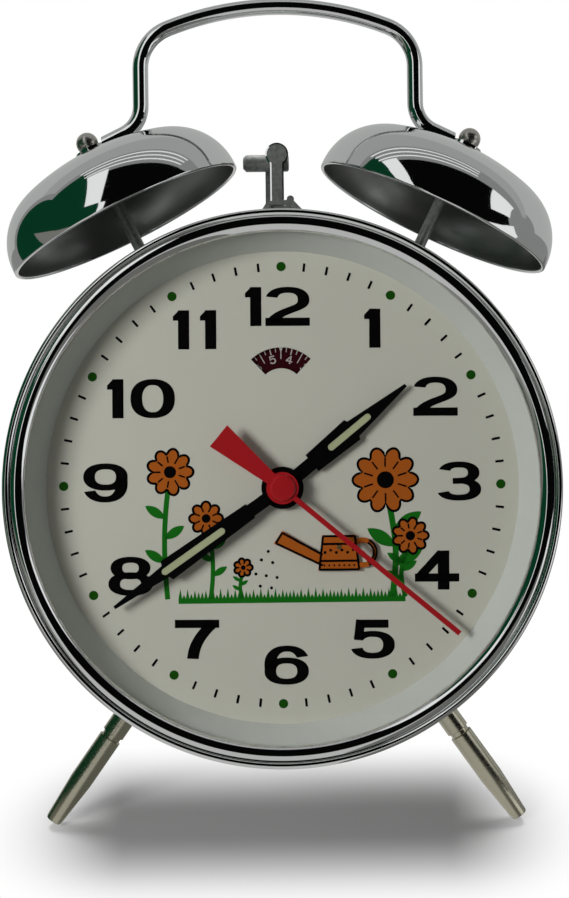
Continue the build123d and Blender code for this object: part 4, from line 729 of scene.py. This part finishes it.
def daisy(s, x, y, radius, petals, lean):  # parts in green, orange and black
    middle = np.array((x, y))
    slide, bend, drop = s["bend"]
    foot = np.array((x + lean * slide, s["soil"] + s["root"]))
    stem = sweep((x, y), (x + lean * bend, y - radius * drop), (x + lean, (y + foot[1]) / 2), foot)
    greens = [stroke(stem, s["stem"][0] + radius * s["stem"][1])]
    side = np.sign(lean)
    aside, rise, width = s["leaf"]
    for share, hand in s["leaves"]:
        base = stem[int(share * (len(stem) - 1))]
        greens.append(leaf(base, base + (hand * side * radius * aside, radius * rise), radius * width))
    edge = petalEdge(x, y, radius, petals)
    lines = [stroke(edge, s["line"], closed=True), filled(circle((x, y), radius * s["heart"], 28))]
    near, far, thin = s["ray"]
    rays = compass(2 * np.pi * (np.arange(petals) + 0.5) / petals)
    for ray in rays:
        path = np.linspace(middle + radius * near * ray, middle + radius * far * ray, 4)
        lines.append(stroke(path, s["line"] * thin))
    return greens, [filled(edge)], lines


def grassStrip(s):  # every other point is a blade's tip: turf + height + unevenness x sine
    start, end, blades = s["grass"]
    height, uneven, wave = s["blade"]
    step = np.arange(2 * blades + 1)
    along = np.linspace(start, end, len(step))
    top = s["soil"] + s["turf"] + (step % 2) * (height + uneven * np.sin(step * wave))
    strip = np.stack((np.stack((along, top), -1), np.stack((along, np.full_like(along, s["soil"])), -1)), 1)
    return strip.reshape(-1, 2), [quad[::-1] for quad in gridFaces(len(step), 2)]


greenParts, orangeParts, lineParts = [], [], []
for flower in gardenPrint["daisies"]:
    greens, oranges, lines = daisy(gardenPrint, *flower)
    greenParts, orangeParts, lineParts = greenParts + greens, orangeParts + oranges, lineParts + lines
greenParts.append(grassStrip(gardenPrint))
lineParts += [filled(circle(place, gardenPrint["drop"], 14)) for place in gardenPrint["drops"]]
inkPiece("gardenLeaves", greenParts, gardenPrint["green"], "case", leafInk)
inkPiece("gardenPetals", orangeParts, gardenPrint["orange"], "case", orangeInk)
inkPiece("gardenLines", lineParts, gardenPrint["black"], "case", blackInk)

# rocking can: its printed edges, bands and dots
canPrint = dict(
    place=(11.9037, -12.8189), depth=10.98, line=0.24, loop=(5.05, -1.2), rings=(2.95, 2.35), bend=64,
    body=((-4.24, -4.76), (4.24, -4.76), (3.4, 2.36), (-3.4, 2.36)),
    spout=((-3.5, -3.85), (-13.45, 0.98), (-12.1, 3.2), (-3.5, -1.6)), bands=((4.0, -2.9), (3.6, 0.7)),
    studs=(3.0, 6, -1.1, 0.5, 0.32),  # half the row, count, level, zigzag and radius
    beads=(3.2, 7, -3.85, 0.22),  # half the row, count, level and radius
)


def canInk(s):
    middle, body, spout = np.array(s["place"]), s["body"], s["spout"]
    lines = list(zip(body, body[1:] + body[:1])) + list(zip(spout, spout[1:]))
    lines += [((-half, level), (half, level)) for half, level in s["bands"]]
    parts = [stroke(np.linspace(start, end, 4) + middle, s["line"]) for start, end in lines]
    loops = [arc(middle + s["loop"], ring, -s["bend"], s["bend"], 30) for ring in s["rings"]]
    parts += [stroke(loop, s["line"]) for loop in loops]
    half, count, level, step, radius = s["studs"]
    for i, x in enumerate(np.linspace(-half, half, count)):  # a zigzag row
        parts.append(filled(circle(middle + (x, level + step * (i % 2)), radius, 14)))
    half, count, level, radius = s["beads"]
    return parts + [filled(circle(middle + (x, level), radius, 12)) for x in np.linspace(-half, half, count)]


inkPiece("canLines", canInk(canPrint), canPrint["depth"], "lever", blackInk)
print("garden printed")

# camera: square to the dial and rolled a little, as the photograph is
cameraView = dict(
    standoff=330.0, aside=0.53, above=8.24, roll=0.7, focal=1600.5, image=(569, 898), sensor=36.0,
    clip=(0.01, 60),
)
camera = bpy.data.objects.new("photoCamera", bpy.data.cameras.new("photoCamera"))
bpy.context.scene.collection.objects.link(camera)
camera.data.sensor_fit = "VERTICAL"
camera.data.sensor_height = cameraView["sensor"]
camera.data.lens = cameraView["focal"] * cameraView["sensor"] / cameraView["image"][1]
camera.data.clip_start, camera.data.clip_end = cameraView["clip"]
roll = np.radians(cameraView["roll"])
pose = np.eye(4)
pose[:3, 0] = np.cos(roll) * toRight - np.sin(roll) * upDial
pose[:3, 1] = np.sin(roll) * toRight + np.cos(roll) * upDial
pose[:3, 2] = -inward
pose[:3, 3] = onClock(cameraView["aside"], cameraView["above"], -cameraView["standoff"])
camera.matrix_world = Matrix(pose.tolist())
bpy.context.scene.camera = camera

# studio: a white floor, grey surroundings, soft lamps, and glowing cards that only reflections see: painted
# reflections in the metal and glass
studio = dict(floor=0.42, reach=30.0, drop=0.0002, line=(0.034, -0.04), clear=(0.004, 0.035), world=0.165)


def whiteFloor():  # keeps the shadow near a line under the clock's front, and clears to white further out
    grey = (studio["floor"],) * 3
    material, shader, place = newMaterial("whiteFloor", grey, 0.0, 0.9, Specular_IOR_Level=0.0)
    tree = place.tree
    half, front = studio["line"]
    x = place.node("ShaderNodeSeparateXYZ", (), 0, Vector=place)
    y = place.node("ShaderNodeSeparateXYZ", (), 1, Vector=place)
    beyond = x.sum("MAXIMUM", x.sum("ABSOLUTE", x, 0.0) - half, 0.0)  # distance from the line: past its ends
    ahead = y - front  # and before or behind it
    away = x.sum("SQRT", beyond * beyond + ahead * ahead, 0.0)
    near, far = studio["clear"]
    clear = away.node(
        "ShaderNodeMapRange", {"interpolation_type": "SMOOTHSTEP"},
        Value=away, From_Min=near, From_Max=far, To_Min=0.0, To_Max=1.0,
    )
    ray = tree.nodes.new("ShaderNodeLightPath")
    seen = Socket(tree, ray.outputs["Is Camera Ray"]) + Socket(tree, ray.outputs["Is Transmission Ray"])
    glow = tree.nodes.new("ShaderNodeEmission")
    mixSurface(tree, (seen * clear).link, shader.outputs[0], glow.outputs[0])
    return material


corners = studio["reach"] * np.array(((-1, -1, 0), (1, -1, 0), (1, 1, 0), (-1, 1, 0)))
floor = newPiece("floor", corners - (0, 0, studio["drop"]), [[0, 1, 2, 3]], smooth=False)
floor.data.materials.append(whiteFloor())
floor.visible_glossy = floor.visible_diffuse = False  # the cards and the world stand for it

cardShape = dict(middle=(0.0, 30.0, 20.0), reach=560.0, outer=620.0, grid=(13, 19))
black, green, white = (0.002, 0.002, 0.002), (0.003, 0.042, 0.018), (0.95, 0.95, 0.95)
grey = (0.26, 0.26, 0.26)
# each card glows with its own colour and shows only in reflections: the dark ones are painted dark reflections, the
# white ones painted highlights in place of the lamps, and the greys painted reflections of room, table and ceiling
cards = (
    dict(name="roomBall", side=(-89.9, 89.9), rise=(-180, 180), colour=grey, reach=cardShape["outer"]),
    dict(name="blackCard", side=(-20, 52), rise=(12, 62), colour=black),
    dict(name="greenCard", side=(-89.9, -35), rise=(12, 78), colour=green),
    dict(name="greenEnd", side=(-89.9, -60), rise=(78, 300), colour=green),
    dict(name="leftCard", side=(-35, -20), rise=(12, 66), colour=white),
    dict(name="rightCard", side=(52, 72), rise=(12, 62), colour=white),
    dict(name="middleBlack", side=(-15.5, 70), rise=(-17, 12), colour=black),
    dict(name="middleWhite", side=(-21.5, -15.5), rise=(-17, 12), colour=white),
    dict(name="middleGreen", side=(-89.9, -21.5), rise=(-17, 12), colour=green),
    dict(name="lowGrey", side=(-89.9, -35), rise=(-60, -17), colour=(0.20, 0.20, 0.18)),
    dict(name="lowWhite", side=(42, 75), rise=(-60, -17), colour=white),
    dict(name="tableCard", side=(-35, 10), rise=(-178, -17), colour=(0.56, 0.56, 0.55)),
    dict(name="tableEnd", side=(10, 42), rise=(-178, -17), colour=(0.16, 0.16, 0.15)),
    dict(name="ceilingCard", side=(-55, 80), rise=(86, 112), colour=(0.38, 0.385, 0.38)),
    dict(name="backCard", side=(-55, 75), rise=(112, 178), colour=(0.46, 0.47, 0.46)),
    # three thin glowing strips: painted glints along the bell crowns
    dict(name="lowStrip", side=(-38, 40), rise=(68, 70), colour=white),
    dict(name="middleStrip", side=(-38, 40), rise=(74.5, 76.5), colour=white),
    dict(name="highStrip", side=(-38, 40), rise=(81, 83), colour=white),
)


def card(name, side, rise, colour, reach=cardShape["reach"]):
    # part of a ball round the clock: middle + reach x (sin side, cos side x sin rise, -cos side x cos rise)
    (columns, rows), (u, v, w) = cardShape["grid"], cardShape["middle"]
    across, up = np.radians(np.meshgrid(np.linspace(*side, columns), np.linspace(*rise, rows), indexing="ij"))
    deep = reach * np.cos(across)
    points = onClock(u + reach * np.sin(across), v + deep * np.sin(up), w - deep * np.cos(up))
    sheet = newPiece(name, points.reshape(-1, 3), gridFaces(columns, rows))
    fixed = dict(Emission_Strength=1.0, Specular_IOR_Level=0.0)
    material, shader = newMaterial(name, (0, 0, 0), 0.0, 0.95, **fixed)[:2]
    shader.inputs["Emission Color"].default_value = (*colour, 1)
    sheet.data.materials.append(material)
    sheet.visible_camera = sheet.visible_diffuse = sheet.visible_transmission = sheet.visible_shadow = False


for shape in cards:
    card(**shape)

# soft grey light all round, and white where the camera sees past the floor
world = bpy.data.worlds.new("studioWorld")
bpy.context.scene.world = world
world.use_nodes = True
sky = world.node_tree
sky.nodes["Background"].inputs["Color"].default_value = (1, 1, 1, 1)
sky.nodes["Background"].inputs["Strength"].default_value = studio["world"]
backdrop = sky.nodes.new("ShaderNodeBackground")
backdrop.inputs["Color"].default_value = (1, 1, 1, 1)
ray = sky.nodes.new("ShaderNodeLightPath")
mixSurface(sky, ray.outputs["Is Camera Ray"], sky.nodes["Background"].outputs[0], backdrop.outputs[0])

lamps = (
    dict(name="leftBackSoftbox", place=(-0.11, 0.26, 0.53), target=(0, 0, 0.05), size=(0.24, 0.24), power=6.6),
    dict(name="rightBackSoftbox", place=(0.11, 0.26, 0.53), target=(0, 0, 0.05), size=(0.24, 0.24), power=6.6),
    dict(
        name="frontSoftbox", place=(-0.30, -0.364, 0.272), target=(0, -0.03, 0.075), size=(0.12, 0.18), power=1.5
    ),
)


def softbox(name, place, target, size, power):
    lamp = bpy.data.lights.new(name, "AREA")
    lamp.shape, lamp.energy = "RECTANGLE", power
    lamp.size, lamp.size_y = size
    holder = bpy.data.objects.new(name, lamp)
    bpy.context.scene.collection.objects.link(holder)
    away = np.array(place, float) - np.array(target, float)
    away /= np.linalg.norm(away)
    side = np.cross((0, 1, 0), away)
    side /= np.linalg.norm(side)
    stand = np.eye(4)
    stand[:3, 0], stand[:3, 1], stand[:3, 2], stand[:3, 3] = side, np.cross(away, side), away, place
    holder.matrix_world = Matrix(stand.tolist())
    holder.visible_glossy = False  # the cards stand for the lamps in polished metal


for shape in lamps:
    softbox(**shape)
print("studio lit")

bpy.context.scene.view_settings.view_transform = "Standard"
